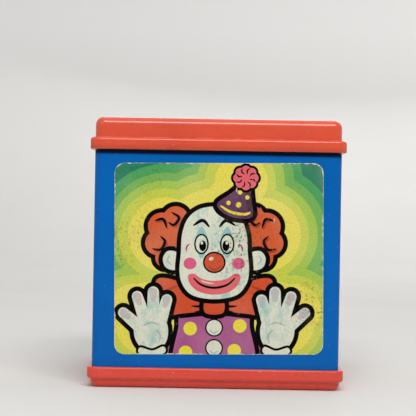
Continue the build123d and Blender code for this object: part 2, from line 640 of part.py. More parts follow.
def head_shell():
    """Hollow vinyl head with an open neck and two ears."""
    head = head_ball()
    for side in (-1, 1):
        head += Pos(FIGURE_X + side * (HEAD_RADIUS + 0.5), -2, HEAD_Z - 6) * Sphere(5.0)
    head += rod_z(12.8, FIGURE_X, 0, NECK_Z - 3, NECK_Z)
    return head - head_ball(-2.2) - rod_z(11.4, FIGURE_X, 0, 40, 60)


def nose():
    return Pos(FIGURE_X, -HEAD_RADIUS - 1.6, HEAD_Z - 3) * Sphere(5.6) - head_ball(0.03)


def hair(side):
    puff = Pos(FIGURE_X + side * 31.0, 4.0, HEAD_Z + 7) * Rot(0, 90, 0) * Sphere(HAIR_RADIUS)
    puff -= head_ball(0.03)
    return puff - Pos(FIGURE_X + side * (HEAD_RADIUS + 0.5), -2, HEAD_Z - 6) * Sphere(5.1)


HAT_PLACE = Pos(FIGURE_X, 0, HAT_BASE_Z) * Rot(0, -HAT_TILT, 0)


def hat():
    cone = HAT_PLACE * Cone(HAT_BASE_RADIUS, 2.4, HAT_TIP_Z - HAT_BASE_Z, align=LOW)
    return cone - head_ball(0.03)


def hat_tassel():
    ball = HAT_PLACE * Pos(0, 0, HAT_TIP_Z - HAT_BASE_Z + TASSEL_RADIUS - 3) * Sphere(TASSEL_RADIUS)
    return ball - HAT_PLACE * Cone(HAT_BASE_RADIUS, 2.4, HAT_TIP_Z - HAT_BASE_Z, align=LOW)


PARTS = {
    "case_body": case_body(), "base_tray": base_tray(), "base_screws": base_screws(),
    "front_label": label("front"), "right_label": label("right"),
    "back_label": label("back"), "left_label": label("left"),
    "lid_shell": lid_shell(), "hinge_pin": hinge_pin(), "lid_keeper": lid_keeper(),
    "keeper_screws": keeper_screws(), "latch_lever": latch_lever(), "latch_pin": latch_pin(),
    "latch_spring": latch_spring(), "movement_frame": movement_frame(), "frame_screws": frame_screws(),
    "tone_comb": tone_comb(), "comb_screws": comb_screws(), "tune_drum": tune_drum(),
    "drum_gear": drum_gear(), "drum_shaft": drum_shaft(), "release_cam": release_cam(),
    "crank_bush": crank_bush(), "crank_shaft": crank_shaft(), "crank_pinion": crank_pinion(),
    "crank_arm": crank_arm(), "crank_screw": crank_screw(), "knob_pin": knob_pin(),
    "crank_knob": crank_knob(),
    "spring_seat": spring_seat(), "seat_screws": seat_screws(), "body_spring": body_spring(),
    "spring_cap": spring_cap(), "costume": costume(), "ruff_collar": ruff_collar(), "bow_tie": bow_tie(),
    "sleeve_left": sleeve(1), "sleeve_right": sleeve(-1), "hand_left": hand(1), "hand_right": hand(-1),
    "neck_plug": neck_plug(), "head_shell": head_shell(), "nose": nose(),
    "hair_left": hair(1), "hair_right": hair(-1), "hat": hat(), "hat_tassel": hat_tassel(),
}

os.makedirs("parts", exist_ok=True)
for name, shape in PARTS.items():
    solids = shape if isinstance(shape, list) else [shape]
    export_step(Compound(children=[s for part in solids for s in part.solids()]), f"parts/{name}.step")
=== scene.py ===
import json
import random
from math import acos, atan2, cos, exp, hypot, pi, radians, sin, sqrt, tan

import bpy
from mathutils import Matrix, Vector
from mathutils.geometry import delaunay_2d_cdt


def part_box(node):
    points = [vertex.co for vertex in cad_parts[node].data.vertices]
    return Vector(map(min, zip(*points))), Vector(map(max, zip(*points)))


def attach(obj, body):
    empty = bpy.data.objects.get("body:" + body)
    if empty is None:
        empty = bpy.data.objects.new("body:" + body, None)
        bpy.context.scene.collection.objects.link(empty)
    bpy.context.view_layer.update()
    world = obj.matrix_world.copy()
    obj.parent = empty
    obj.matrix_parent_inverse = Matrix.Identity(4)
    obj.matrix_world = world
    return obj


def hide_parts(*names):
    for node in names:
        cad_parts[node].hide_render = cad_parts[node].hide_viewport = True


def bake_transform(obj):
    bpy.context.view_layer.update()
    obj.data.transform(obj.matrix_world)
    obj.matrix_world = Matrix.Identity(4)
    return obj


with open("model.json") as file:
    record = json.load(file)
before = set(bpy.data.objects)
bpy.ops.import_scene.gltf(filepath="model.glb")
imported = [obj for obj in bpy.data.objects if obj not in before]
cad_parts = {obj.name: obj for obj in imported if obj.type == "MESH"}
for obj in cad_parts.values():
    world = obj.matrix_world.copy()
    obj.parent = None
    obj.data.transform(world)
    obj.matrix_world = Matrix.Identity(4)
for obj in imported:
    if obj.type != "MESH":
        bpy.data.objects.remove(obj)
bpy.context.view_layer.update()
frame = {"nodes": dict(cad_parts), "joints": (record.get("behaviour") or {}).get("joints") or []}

scene = bpy.context.scene
MM = 0.001
TAU = 2 * pi
GOLDEN_ANGLE = 2.39996
dice = random.Random(7)


# ---- colours and node trees ----

def rgb(red, green, blue):
    """Linear colour with alpha from display values of 0 to 255."""
    def linear(value):
        value /= 255
        return value / 12.92 if value <= 0.04045 else ((value + 0.055) / 1.055) ** 2.4
    return linear(red), linear(green), linear(blue), 1.0


class Finish:
    """A material built in short steps. Patterns use the object's own coordinates, in metres."""

    def __init__(self, name, **sockets):
        self.material = bpy.data.materials.new(name)
        self.material.use_nodes = True
        self.tree = self.material.node_tree
        self.shader = self.tree.nodes["Principled BSDF"]
        for socket, value in sockets.items():
            self.shader.inputs[socket.replace("_", " ")].default_value = value
        self.place = self.add("TexCoord").outputs["Object"]

    def add(self, kind, feeds=None, **settings):
        node = self.tree.nodes.new("ShaderNode" + kind)
        for setting, value in settings.items():
            setattr(node, setting, value)
        for socket, value in (feeds or {}).items():
            self.feed(node.inputs[socket], value)
        return node

    def feed(self, socket, value):
        if isinstance(value, bpy.types.NodeSocket):
            self.tree.links.new(value, socket)
        else:
            socket.default_value = value

    def noise(self, scale, detail=2.0, stretch=(1, 1, 1), rough=0.5):
        mapped = self.add("Mapping", {"Vector": self.place, "Scale": stretch})
        feeds = {"Vector": mapped.outputs[0], "Scale": scale, "Detail": detail, "Roughness": rough}
        return self.add("TexNoise", feeds).outputs["Fac"]

    def between(self, value, low, high, to_low=0.0, to_high=1.0):
        """value taken from the range low to high to a new range, held at its ends."""
        feeds = {"Value": value, "From Min": low, "From Max": high, "To Min": to_low, "To Max": to_high}
        return self.add("MapRange", feeds).outputs[0]

    def math(self, operation, first, second=0.0):
        return self.add("Math", {0: first, 1: second}, operation=operation).outputs[0]

    def times(self, first, second):
        return self.math("MULTIPLY", first, second)

    def patches(self, scale, detail, low, high, **settings):
        """0 where noise is under low, 1 where it is over high."""
        return self.between(self.noise(scale, detail, **settings), low, high)

    def mix(self, share, first, second):
        return self.add("Mix", {0: share, 6: first, 7: second}, data_type="RGBA").outputs[2]

    def over(self, tone, mask, share, colour):
        """tone with a share of colour laid over it where mask is 1."""
        return self.mix(self.times(mask, share), tone, colour)

    def edges(self, radius):
        """1 on worn outer edges, 0 on flat faces."""
        soft = self.add("Bevel", {"Radius": radius}, samples=4).outputs[0]
        flat = self.add("NewGeometry").outputs["Normal"]
        same = self.add("VectorMath", {0: soft, 1: flat}, operation="DOT_PRODUCT").outputs["Value"]
        return self.between(self.math("SUBTRACT", 1.0, same), 0.02, 0.25)

    def done(self, tone, height, distance, strength, roughness=None):
        """The material, with its colour, a bump and perhaps a patterned roughness connected."""
        feeds = {"Height": height, "Distance": distance, "Strength": strength}
        self.feed(self.shader.inputs["Base Color"], tone)
        self.feed(self.shader.inputs["Normal"], self.add("Bump", feeds).outputs[0])
        if roughness is not None:
            self.feed(self.shader.inputs["Roughness"], roughness)
        return self.material


def shade(colour, factor):
    return tuple(min(1.0, c * factor) for c in colour[:3]) + (1.0,)


# Painted shade band on the outer walls, in metres: how far out its walls stand, and the height in which it
# sets in.
PAINTED_SHADE_WALL = (0.0660, 0.0664)
PAINTED_SHADE_RISE = 0.0012
WORN_EDGE = 0.0011


def plastic(name, colour, worn, roughness=0.2, edge=0.4, scuff=0.5, gloss=0.5, painted_shade=None):
    """Moulded plastic with clouding, fine scratches, dust and pale worn edges. The last argument is a band of
    painted shade on the outer walls: its lowest and highest height, the height over which it fades out
    upwards, and its strength.
    """
    made = Finish(name, Roughness=roughness, Specular_IOR_Level=gloss)
    tone = made.mix(made.patches(26, 3, 0.3, 0.7), shade(colour, 0.93), shade(colour, 1.06))
    tone = made.over(tone, made.patches(1500, 2, 0.35, 0.65), 0.10, shade(colour, 0.72))
    streak = made.patches(40, 4, 0.63, 0.72, stretch=(1, 1, 16), rough=0.7)
    scratch = made.times(streak, made.patches(18, 2, 0.48, 0.62))
    tone = made.over(tone, scratch, 0.16 * scuff, worn)
    tone = made.over(tone, made.patches(620, 1, 0.74, 0.78), 0.45 * scuff, worn)
    tone = made.over(tone, made.times(made.edges(WORN_EDGE), made.patches(120, 4, 0.42, 0.62)), edge, worn)
    # Painted shade: the band is darkened towards near black, standing in for the shade under an overhang or
    # along a lower edge.
    if painted_shade:
        x, y, z = made.add("SeparateXYZ", {0: made.place}).outputs
        out = made.math("MAXIMUM", made.math("ABSOLUTE", x), made.math("ABSOLUTE", y))
        low, high, fade, strength = painted_shade
        band = made.times(made.between(z, low, low + PAINTED_SHADE_RISE), made.between(z, high + fade, high))
        dark = made.times(made.between(out, *PAINTED_SHADE_WALL), band)
        tone = made.over(tone, dark, strength, shade(colour, 0.03))
    dull = made.between(made.noise(75, 3), 0.3, 0.7, roughness - 0.02, roughness + 0.04)
    height = made.math("ADD", made.noise(700, 2), made.times(scratch, 0.6))
    return made.done(tone, height, 0.00003, 0.5, made.math("ADD", dull, made.times(scratch, 0.15)))


def metal(name, colour, roughness=0.3, stretch=(1, 1, 1), tarnish=0.25):
    """Plated or drawn metal with fine brushing and light tarnish."""
    made = Finish(name, Metallic=1.0, Roughness=roughness)
    brushed = made.noise(900, 3, stretch)
    tone = made.over(colour, made.patches(150, 3, 0.45, 0.7), tarnish, shade(colour, 0.45))
    tone = made.mix(made.between(brushed, 0.3, 0.7, 0.0, 0.25), tone, shade(colour, 1.25))
    dull = made.between(brushed, 0.3, 0.7, roughness - 0.08, roughness + 0.12)
    return made.done(tone, brushed, 0.00002, 0.5, dull)


def cloth(name, colour, spots=None, weave=2600, fuzz=0.3):
    """Woven cloth. spots is a second colour, which shows where the mesh's spot attribute is under 1."""
    made = Finish(name, Roughness=0.85, Sheen_Weight=fuzz, Specular_IOR_Level=0.2)
    base = made.mix(made.patches(60, 3, 0.3, 0.7), shade(colour, 0.85), shade(colour, 1.1))
    if spots:
        reach = made.add("Attribute", attribute_name="spot").outputs["Fac"]
        base = made.mix(made.between(reach, 0.97, 1.03), spots, base)
    feeds = {"Vector": made.place, "Scale": weave / 6, "Distortion": 1.5, "Detail": 1.0}
    warp, weft = (made.add("TexWave", feeds, bands_direction=way).outputs["Fac"] for way in ("Z", "DIAGONAL"))
    thread = made.times(warp, weft)
    tone = made.mix(made.between(thread, 0.0, 0.7, 0.28, 0.0), base, (0.02, 0.01, 0.02, 1))
    return made.done(tone, thread, 0.00012, 0.6)


def yarn(name, colour, light):
    """Fuzzy fibre, streaked along its strands."""
    made = Finish(name, Roughness=0.9, Sheen_Weight=0.5, Specular_IOR_Level=0.15)
    fibre = made.noise(1300, 3, (1, 1, 0.4))
    return made.done(made.mix(made.between(fibre, 0.35, 0.65), shade(colour, 0.7), light), fibre, 0.0002, 0.7)


def vinyl(name, colour, blush):
    """Soft matt vinyl with a faint warm mottle."""
    made = Finish(name, Roughness=0.5, Subsurface_Weight=0.08, Subsurface_Scale=0.004)
    tone = made.mix(made.patches(45, 3, 0.35, 0.75), colour, blush)
    specks = made.between(made.noise(900, 2), 0.62, 0.75, 0, 0.25)
    dull = made.between(made.noise(160, 2), 0.3, 0.7, 0.42, 0.58)
    return made.done(made.mix(specks, tone, shade(blush, 0.6)), made.noise(1100, 2), 0.00003, 0.4, dull)


# Display values of the printed inks, in the order of the mesh's material slots.
INKS = {
    "paper": (222, 216, 190),
    "deep": (34, 124, 92), "green": (76, 158, 92), "leaf": (116, 174, 86), "fresh": (162, 194, 80),
    "lime": (196, 204, 76), "yellow": (226, 214, 84),
    "black": (6, 4, 6), "white": (218, 220, 200), "shadow": (180, 184, 174), "lilac": (200, 184, 182),
    "teal": (140, 190, 188),
    "orange": (208, 86, 40), "rust": (170, 58, 32), "bow": (206, 78, 40), "red": (208, 72, 38),
    "pink": (214, 86, 126), "magenta": (178, 40, 98), "coral": (222, 96, 106),
    "purple": (98, 50, 90), "plum": (68, 32, 66), "shirt": (166, 84, 136), "spot": (230, 216, 60),
}


def ink(name, colour, worn=1.0, stain=None):
    """Ink printed on paper: fine grain, pale wear, dark specks and grime. worn is 0 on paint that isn't on
    paper. stain is a colour that has run into it in streaks.
    """
    dark = max(colour[:3]) < 0.05
    made = Finish(name, Roughness=0.5, Specular_IOR_Level=0.03 if dark else 0.15)
    grain = made.noise(1150, 3, rough=0.7)
    tone = made.mix(made.between(grain, 0.3, 0.7), shade(colour, 0.82), shade(colour, 1.12))
    cloud = made.noise(42, 3)
    if stain:
        streaks = made.patches(95, 4, 0.47, 0.66, stretch=(1, 1.6, 1), rough=0.7)
        tone = made.over(tone, made.times(streaks, made.patches(22, 1, 0.38, 0.58)), 0.85, stain)
    fade = 0.005 if dark else 0.10
    tone = made.mix(made.between(cloud, 0.4, 0.75, 0.0, fade), tone, rgb(236, 230, 204))
    rubbed = made.times(made.patches(520, 4, 0.64, 0.72, rough=0.7), made.patches(30, 2, 0.45, 0.62))
    tone = made.over(tone, rubbed, 0.45 * worn, rgb(228, 222, 204))
    grime = made.patches(16, 3, 0.49, 0.68, stretch=(1, 1.3, 1))
    tone = made.over(tone, made.times(made.patches(620, 3, 0.57, 0.62), grime), 0.85 * worn, rgb(30, 34, 24))
    tone = made.over(tone, made.times(grime, made.patches(150, 3, 0.45, 0.7)), 0.3 * worn, rgb(110, 100, 60))
    line = made.times(made.patches(60, 2, 0.71, 0.74, stretch=(1, 9, 1.5)), made.patches(14, 1, 0.53, 0.58))
    tone = made.over(tone, line, 0.8 * worn, rgb(226, 220, 202))
    return made.done(tone, grain, 0.00003, 0.5, made.between(cloud, 0.3, 0.7, 0.42, 0.62))


# ---- flat drawings ----

def angles(count, shift=0):
    """Directions spread evenly over a turn."""
    return [TAU * (k + shift) / count for k in range(count)]


def arc(half, steps):
    """Directions from -half to half degrees."""
    return [radians(-half + 2 * half * k / steps) for k in range(steps + 1)]


def spline(p0, p1, p2, p3, steps):
    """Points of the smooth curve through four points, from p1 up to p2, which is left out."""
    return [0.5 * (2 * p1 + (p2 - p0) * t + (2 * p0 - 5 * p1 + 4 * p2 - p3) * t * t
                   + (3 * p1 - p0 - 3 * p2 + p3) * t ** 3) for t in (k / steps for k in range(steps))]


def smooth_loop(points):
    """Closed smooth curve through given points."""
    row = [Vector(p) for p in points]
    row = [row[-1], *row, row[0], row[1]]
    return [p for four in zip(row, row[1:], row[2:], row[3:]) for p in spline(*four, 7)]


def smooth_line(points):
    """Open smooth curve through given points."""
    row = [Vector(p) for p in points]
    row = [2 * row[0] - row[1], *row, 2 * row[-1] - row[-2]]
    return [p for four in zip(row, row[1:], row[2:], row[3:]) for p in spline(*four, 8)] + [row[-2]]


def oval(u, v, across, up=None, turn=0.0, sides=36):
    """Ellipse with its half-widths, turned by degrees."""
    up = across if up is None else up
    c, s = cos(radians(turn)), sin(radians(turn))
    loop = []
    for a in angles(sides):
        x, y = across * cos(a), up * sin(a)
        loop.append(Vector((u + x * c - y * s, v + x * s + y * c)))
    return loop


def capsule(start, end, first, last, sides=14):
    """Rounded bar from start to end whose radius goes from first to last."""
    a, b = Vector(start), Vector(end)
    heading = atan2((b - a).y, (b - a).x)
    loop = []
    for middle, radius, turn in ((b, last, heading - pi / 2), (a, first, heading + pi / 2)):
        for k in range(sides + 1):
            angle = turn + pi * k / sides
            loop.append(middle + radius * Vector((cos(angle), sin(angle))))
    return loop


def sides_of(loop):
    """The loop's sides, as pairs of neighbours."""
    return zip(loop, loop[1:] + loop[:1])


def anticlockwise(loop):
    return sum(a.x * b.y - b.x * a.y for a, b in sides_of(loop)) > 0


def grown(loop, distance):
    """The loop moved outwards along its normals."""
    count = len(loop)
    sign = 1 if anticlockwise(loop) else -1
    moved = []
    for i, p in enumerate(loop):
        along = (loop[(i + 1) % count] - loop[i - 1]).normalized()
        moved.append(p + sign * distance * Vector((along.y, -along.x)))
    return moved


def round_rectangle(half_u, half_v, corner, sides=8):
    loop = []
    for k, (su, sv) in enumerate(((1, 1), (-1, 1), (-1, -1), (1, -1))):
        for i in range(sides + 1):
            angle = pi / 2 * (k + i / sides)
            loop.append(Vector((su * (half_u - corner) + corner * cos(angle),
                                sv * (half_v - corner) + corner * sin(angle))))
    return loop


# Usual width of the black outline round a shape, in millimetres.
LINE = 2.5


class Drawing:
    """Flat inked shapes in painter's order. Units are millimetres, u to the right and v up."""

    def __init__(self):
        self.layers = []

    def fill(self, name, *loops):
        for loop in loops:
            self.layers.append((name, loop if anticlockwise(loop) else loop[::-1]))

    def outlined(self, name, *loops, line=LINE):
        self.fill("black", *(grown(loop, line) for loop in loops))
        self.fill(name, *loops)

    def stroke(self, name, points, width, taper=0.25):
        """Brush stroke along a smooth line, with taper times its full width at its ends."""
        line = smooth_line(points)
        last = len(line) - 1
        left, right = [], []
        for i, p in enumerate(line):
            along = (line[min(i + 1, last)] - line[max(i - 1, 0)]).normalized()
            half = width / 2 * (taper + (1 - taper) * sin(pi * i / last) ** 0.6)
            left.append(p + half * Vector((-along.y, along.x)))
            right.append(p - half * Vector((-along.y, along.x)))
        self.fill(name, right + left[::-1])

    def triangles(self, extra=()):
        """(points, triangles, inks) of what shows. The first layer is the sheet if it is paper: nothing shows
        outside it, and nothing but paper outside the second layer. A layer called hole is left out.
        """
        points, faces = [], []
        for _, loop in self.layers:
            faces.append(list(range(len(points), len(points) + len(loop))))
            points += loop
        points += [Vector(p) for p in extra]
        flat, _, cut, _, _, source = delaunay_2d_cdt(points, [], faces, 1, 1e-5)
        on_paper = self.layers[0][0] == "paper"
        shown, inks = [], []
        for face, layers in zip(cut, source):
            name = self.layers[max(layers)][0] if layers else "hole"
            if on_paper and name != "hole":
                name = "hole" if 0 not in layers else name if 1 in layers else "paper"
            if name != "hole":
                shown.append(list(face))
                inks.append(name)
        return flat, shown, inks


# ---- the printed clown ----

LABEL_HALF = (56.8, 52.05)
LABEL_CORNER = 5.5
FACE_U, FACE_V = -2.5, 3.0
HAND_U, HAND_V = 34.5, -37.5
HAND_SIZE = 0.92


def both(loop):
    """The loop and its mirror image about the face's middle line."""
    return [[Vector(p) for p in loop], [Vector((2 * FACE_U - p[0], p[1])) for p in reversed(loop)]]


def beside(side, points, u=FACE_U, v=0.0):
    """Points given from u, v: to its right if side is 1, and mirrored to its left if side is -1."""
    return [(u + side * a, v + b) for a, b in points]


def symmetric(half, u=FACE_U, v=0.0):
    """Smooth outline from its right half, which starts and ends on the middle line."""
    return smooth_loop(beside(1, half, u, v) + beside(-1, half[-2:0:-1], u, v))


def draw_halo(art):
    """Lobed bands of colour that follow the clown's outline, darkest at the corners."""
    masses = [(FACE_U, 8, 24), (-29, 13, 14), (24, 13, 14), (8, 30, 9), (12, 42, 8),
              (-37, -33, 14), (-46, -28, 8), (32, -33, 14), (41, -28, 8), (FACE_U, -40, 28)]
    for grow, name in ((25.5, "green"), (20.5, "leaf"), (16, "fresh"), (11.5, "lime"), (6.5, "yellow")):
        wobble = 0.5 * sin(grow)
        art.fill(name, *(oval(u + wobble, v, r + grow, r + grow * 0.97) for u, v, r in masses))


def draw_shirt(art):
    shirt = smooth_loop([(-20, -28), (-22, -38), (-25, -52), (-24, -60), (19, -60), (20, -52), (17, -38),
                         (15, -28), (FACE_U, -30)])
    sleeves = both(smooth_loop([(12, -45), (20, -44), (32, -47), (38, -56), (30, -62), (14, -60)]))
    art.outlined("shirt", *sleeves)
    art.outlined("shirt", shirt)
    for u, v in ((-15.5, -38), (-18, -51), (11.5, -36.5), (8.5, -50), (27, -52), (-30, -54)):
        art.fill("spot", oval(u, v, 3.7))
    for v in (-37.5, -48.5):
        art.outlined("white", oval(FACE_U, v, 4.1), line=0.8)
        art.stroke("shadow", beside(1, [(-2.6, -1.2), (-0.4, -2.9), (2.4, -1.6)], v=v), 0.9)


def draw_bow(art):
    wing = smooth_loop([(1.5, -22.5), (8, -17.5), (18, -12), (27, -10.5), (29.5, -14), (27.5, -20), (29, -27),
                        (26.5, -31.5), (16, -30), (7, -29), (1.5, -28)])
    art.outlined("bow", *both(wing))
    for side in (1, -1):
        for tip_u, tip_v, rise in ((11, -20.6, 1.6), (12.5, -25.8, 0.2), (10.5, -29.0, -0.8)):
            crease = [(4.2, -25.4 + rise * 0.8), (8, tip_v - rise * 0.4), (tip_u, tip_v)]
            art.stroke("black", beside(side, crease), 1.3, 0.2)
        art.stroke("rust", beside(side, [(20, -14.8), (26, -18), (27, -24), (24, -29.2)]), 2.2, 0.1)
    knot = [(4.4, -21.6), (-4.4, -21.6), (-4.8, -29.4), (4.8, -29.4)]
    art.outlined("bow", smooth_loop(beside(1, knot)))


def draw_hair(art):
    lobes = [(18.5, 21.5, 7.0), (26, 17.5, 7.6), (28.5, 8.5, 6.6), (20.5, 10, 8.0), (24, 0.6, 5.6)]
    loops = [loop for u, v, r in lobes for loop in both(oval(u, v, r))]
    art.outlined("orange", *loops)
    curls = [[(24, -2.4), (20.4, 1.4), (22.6, 5.4), (26.2, 4.6)],
             [(31.4, 5.4), (26.6, 5.0), (24.4, 9.4), (27, 12.4)],
             [(21, 25.4), (16.8, 22.4), (19.4, 18.4), (22.6, 19.8)], [(30, 20.6), (25.4, 21.4), (23.4, 16.6)]]
    for curl in curls:
        for line in (curl, [(2 * FACE_U - u, v) for u, v in curl]):
            art.stroke("rust", [(u + 0.6, v - 0.8) for u, v in line], 2.2, 0.2)
            art.stroke("black", line, 1.6, 0.15)


def draw_head(art):
    ears = both(smooth_loop([(17, 3), (22.5, 4.2), (25.4, 0.4), (24, -4.6), (19, -6.2), (15, -3)]))
    art.outlined("white", *ears)
    for ear in both([(21.6, 2.0), (23.0, -0.8), (20.8, -3.6)]):
        art.stroke("shadow", ear, 1.0)
    skull = [(0, 28.4), (8.5, 26.8), (14.6, 21.6), (17.6, 13), (18.2, 3), (18.9, -6), (17.6, -13.4),
             (12, -19.8), (0, -22)]
    art.outlined("white", symmetric(skull))


def draw_face(art, u=FACE_U, v=FACE_V, line=0.6):
    """The clown's painted features about the point u, v."""
    for side in (1, -1):
        eye = u + side * 7.0
        art.fill("teal", smooth_loop([(eye, v + 14.5), (eye + 3.6, v + 6), (eye, v - 3), (eye - 3.6, v + 6)]))
        art.outlined("white", oval(eye, v + 5, 3.1, 4.7), line=line * 1.5)
        art.fill("black", oval(eye - side * 0.7, v + 4.0, 1.9, 2.9))
        art.fill("white", oval(eye - side * 0.2, v + 5.6, 0.7, 0.9))
        art.stroke("black", beside(side, [(2.6, 14.2), (6.4, 17.8), (11.6, 15.0)], u, v), 1.9, 0.2)
        art.fill("pink", oval(u + side * 13.2, v - 5.6, 3.5, 3.2))
        art.stroke("magenta", beside(side, [(13.4, 5.2), (15.0, 3.4), (15.4, 1.0)], u, v), 0.9)
    lips = [(0, -15.0), (6.5, -14.0), (11, -11.2), (14.2, -12.2), (13.2, -16.6), (8.6, -20.8), (0, -22.6)]
    art.fill("coral", symmetric(lips, u, v))
    smile = [(-11.4, -13.4), (-7, -17.2), (0, -18.8), (7, -17.2), (11.4, -13.4)]
    art.stroke("black", beside(1, smile, u, v), 1.3, 0.45)
    art.stroke("white", beside(1, [(-7.4, -14.9), (-3.6, -16.1), (0, -16.5)], u, v), 0.7, 0.2)


def draw_nose(art):
    art.outlined("red", oval(FACE_U, FACE_V - 5.0, 5.3, 5.0), line=0.9)
    art.stroke("rust", beside(1, [(-3.8, -6.8), (0, -9.0), (3.8, -6.8)], v=FACE_V), 1.3, 0.2)
    art.fill("white", oval(FACE_U - 1.6, FACE_V - 3.0, 1.3, 0.9, 25))


def draw_hat(art):
    cone = [(-0.6, 30.6), (0.6, 26.4), (7, 22.8), (15.0, 21.8), (18.4, 24.0), (17.6, 32), (16.4, 41.6),
            (14.0, 41.8), (6.6, 35.6)]
    art.outlined("purple", smooth_loop(cone))
    art.stroke("plum", [(16.6, 25), (16.2, 32), (15.2, 39.6)], 3.0, 0.2)
    art.stroke("spot", [(0.8, 28.8), (6.6, 25.4), (13.6, 24.2), (17.2, 25.2)], 1.5, 0.5)
    for spot in ((5.2, 30.4, 1.2), (10.6, 29.4, 1.5), (15.4, 33.4, 1.2), (11.4, 36.2, 1.3)):
        art.fill("spot", oval(*spot))
    u, v = 14.6, 44.0
    tufts = [oval(u + 4.4 * cos(a), v + 4.2 * sin(a), 2.5) for a in angles(8)]
    art.outlined("coral", *tufts, oval(u, v, 4.4), line=1.3)
    for a in angles(8, 0.5):
        strand = [(2.2, a), (4, a + 0.2), (5.6, a)]
        art.stroke("black", [(u + r * cos(b), v + r * sin(b)) for r, b in strand], 0.8, 0.3)


def draw_hands(art):
    """Both gloves, palms out. The shapes are drawn about the middle of the palm."""
    fingers = [((-6, 5), (-9.5, 16.5), 3.9, 3.2), ((-1.5, 6), (-1.5, 21), 3.8, 3.3),
               ((3.5, 5), (8, 18.4), 3.8, 3.2), ((6, 0), (16.2, 8.8), 3.7, 3.1)]
    palm = [(-10, 1), (-6, 7), (3, 7.5), (9.5, 1.5), (9, -7), (3.5, -13.6), (-4.5, -13.6), (-9.5, -7.5)]
    creases = [[(-5.4, 1.4), (-0.6, 3), (5, 1)], [(-4.8, -9.4), (-5.6, -4.4), (-2.4, -1)]]
    cuff = [(-7.5, -11.2), (-1, -13.6), (6, -11.8), (6.8, -15), (-0.6, -17.4), (-8.4, -14.8)]
    for side in (1, -1):
        def at(point):
            return Vector((FACE_U + side * (HAND_U + HAND_SIZE * point[0]), HAND_V + HAND_SIZE * point[1]))

        bars = [(at(start), at(end), HAND_SIZE * first, HAND_SIZE * last)
                for start, end, first, last in fingers]
        art.outlined("white", *(capsule(*bar) for bar in bars), smooth_loop([at(p) for p in palm]))
        for start, end, _, last in bars:
            art.fill("lilac", capsule(end.lerp(start, 0.28), end, last * 0.5, last * 0.72))
        for line in creases:
            art.stroke("shadow", [at(p) for p in line], 1.1, 0.15)
        art.outlined("white", smooth_loop([at(p) for p in cuff]), line=1.3)


def label_art(worn, hole=None):
    """The whole label. Its print has rubbed off along the edges by up to worn millimetres."""
    art = Drawing()
    sheet = round_rectangle(*LABEL_HALF, LABEL_CORNER)
    art.fill("paper", sheet)
    edge = []
    for a, b in sides_of(sheet):
        steps = max(1, round((b - a).length / 1.3))
        inward = Vector((a.y - b.y, b.x - a.x)).normalized()
        for k in range(steps):
            edge.append(a.lerp(b, k / steps) + inward * (0.05 + worn * dice.random() ** 3))
    art.fill("deep", edge)
    for draw in (draw_halo, draw_shirt, draw_bow, draw_hair, draw_head, draw_face, draw_nose, draw_hat,
                 draw_hands):
        draw(art)
    if hole:
        art.fill("hole", oval(*hole))
    return art


# ---- mesh helpers ----

def place_in_scene(name, data):
    made = bpy.data.objects.new(name, data)
    scene.collection.objects.link(made)
    return made


def add_object(name, points, faces, smooth=True):
    mesh = bpy.data.meshes.new(name)
    mesh.from_pydata([tuple(p) for p in points], [], faces)
    mesh.polygons.foreach_set("use_smooth", [smooth] * len(mesh.polygons))
    mesh.update()
    return place_in_scene(name, mesh)


def applied(made, *modifiers):
    """Gives the object a new mesh with the modifiers baked in."""
    for kind, settings in modifiers:
        modifier = made.modifiers.new(kind, kind)
        for setting, value in settings.items():
            setattr(modifier, setting, value)
    graph = bpy.context.evaluated_depsgraph_get()
    mesh = bpy.data.meshes.new_from_object(made.evaluated_get(graph))
    made.modifiers.clear()
    made.data = mesh


def thicken(made, thickness):
    """Gives a thin patch a back and an edge, on its inner side."""
    applied(made, ("SOLIDIFY", {"thickness": thickness, "offset": -1}))


def keep_piece(made, body, slot, material, *nodes):
    """The piece rides on a body, takes a finish and stands for some CAD nodes."""
    made.data.materials.clear()
    for entry in material if isinstance(material, list) else [material]:
        made.data.materials.append(entry)
    if body:
        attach(made, body)
    if nodes:
        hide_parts(*nodes)


def box_middle(node):
    low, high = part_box(node)
    return (low + high) / 2


def grid_faces(rows, around):
    """Faces between rows of points, each of which runs once round."""
    return [(i * around + k, i * around + (k + 1) % around, (i + 1) * around + (k + 1) % around,
             (i + 1) * around + k) for i in range(rows - 1) for k in range(around)]


def wrapped(rows, around, place):
    """Points and faces of a closed grid. place gives a point in millimetres from its row and its angle."""
    points = [Vector(place(i, a)) * MM for i in range(rows) for a in angles(around)]
    return points, grid_faces(rows, around)


def caps(points, around):
    """Faces that close the first and the last row."""
    return [tuple(range(around))[::-1], tuple(range(len(points) - around, len(points)))]


def lathe(rows, around, middle=(0, 0)):
    """Points and faces of a surface turned round an upright axis from (radius, height) rows."""
    points = [(middle[0] + r * cos(a), middle[1] + r * sin(a), height)
              for r, height in rows for a in angles(around)]
    return points, grid_faces(len(rows), around)


def tube(path, radius, sides=8, cap=True):
    """Points and faces of a round tube along a path. radius is a number, or a list of one for each point."""
    radii = radius if isinstance(radius, list) else [radius] * len(path)
    path = [Vector(p) for p in path]
    points = []
    side = None
    for i, p in enumerate(path):
        along = (path[min(i + 1, len(path) - 1)] - path[max(i - 1, 0)]).normalized()
        if side is None:
            side = along.orthogonal().normalized()
        side = (side - along * side.dot(along)).normalized()
        up = along.cross(side)
        points += [p + radii[i] * (cos(a) * side + sin(a) * up) for a in angles(sides)]
    faces = grid_faces(len(path), sides)
    if cap:
        faces += caps(points, sides)
    return points, faces


def in_use(triangles):
    """The points that triangles use, and the triangles renumbered to them."""
    used = sorted({i for face in triangles for i in face})
    place = {old: new for new, old in enumerate(used)}
    return used, [[place[i] for i in face] for face in triangles]


def spread(k, count):
    """Direction number k of count that are spread evenly over a ball."""
    height = 1 - 2 * (k + 0.5) / count
    ring = sqrt(1 - height * height)
    return Vector((ring * cos(k * GOLDEN_ANGLE), ring * sin(k * GOLDEN_ANGLE), height))


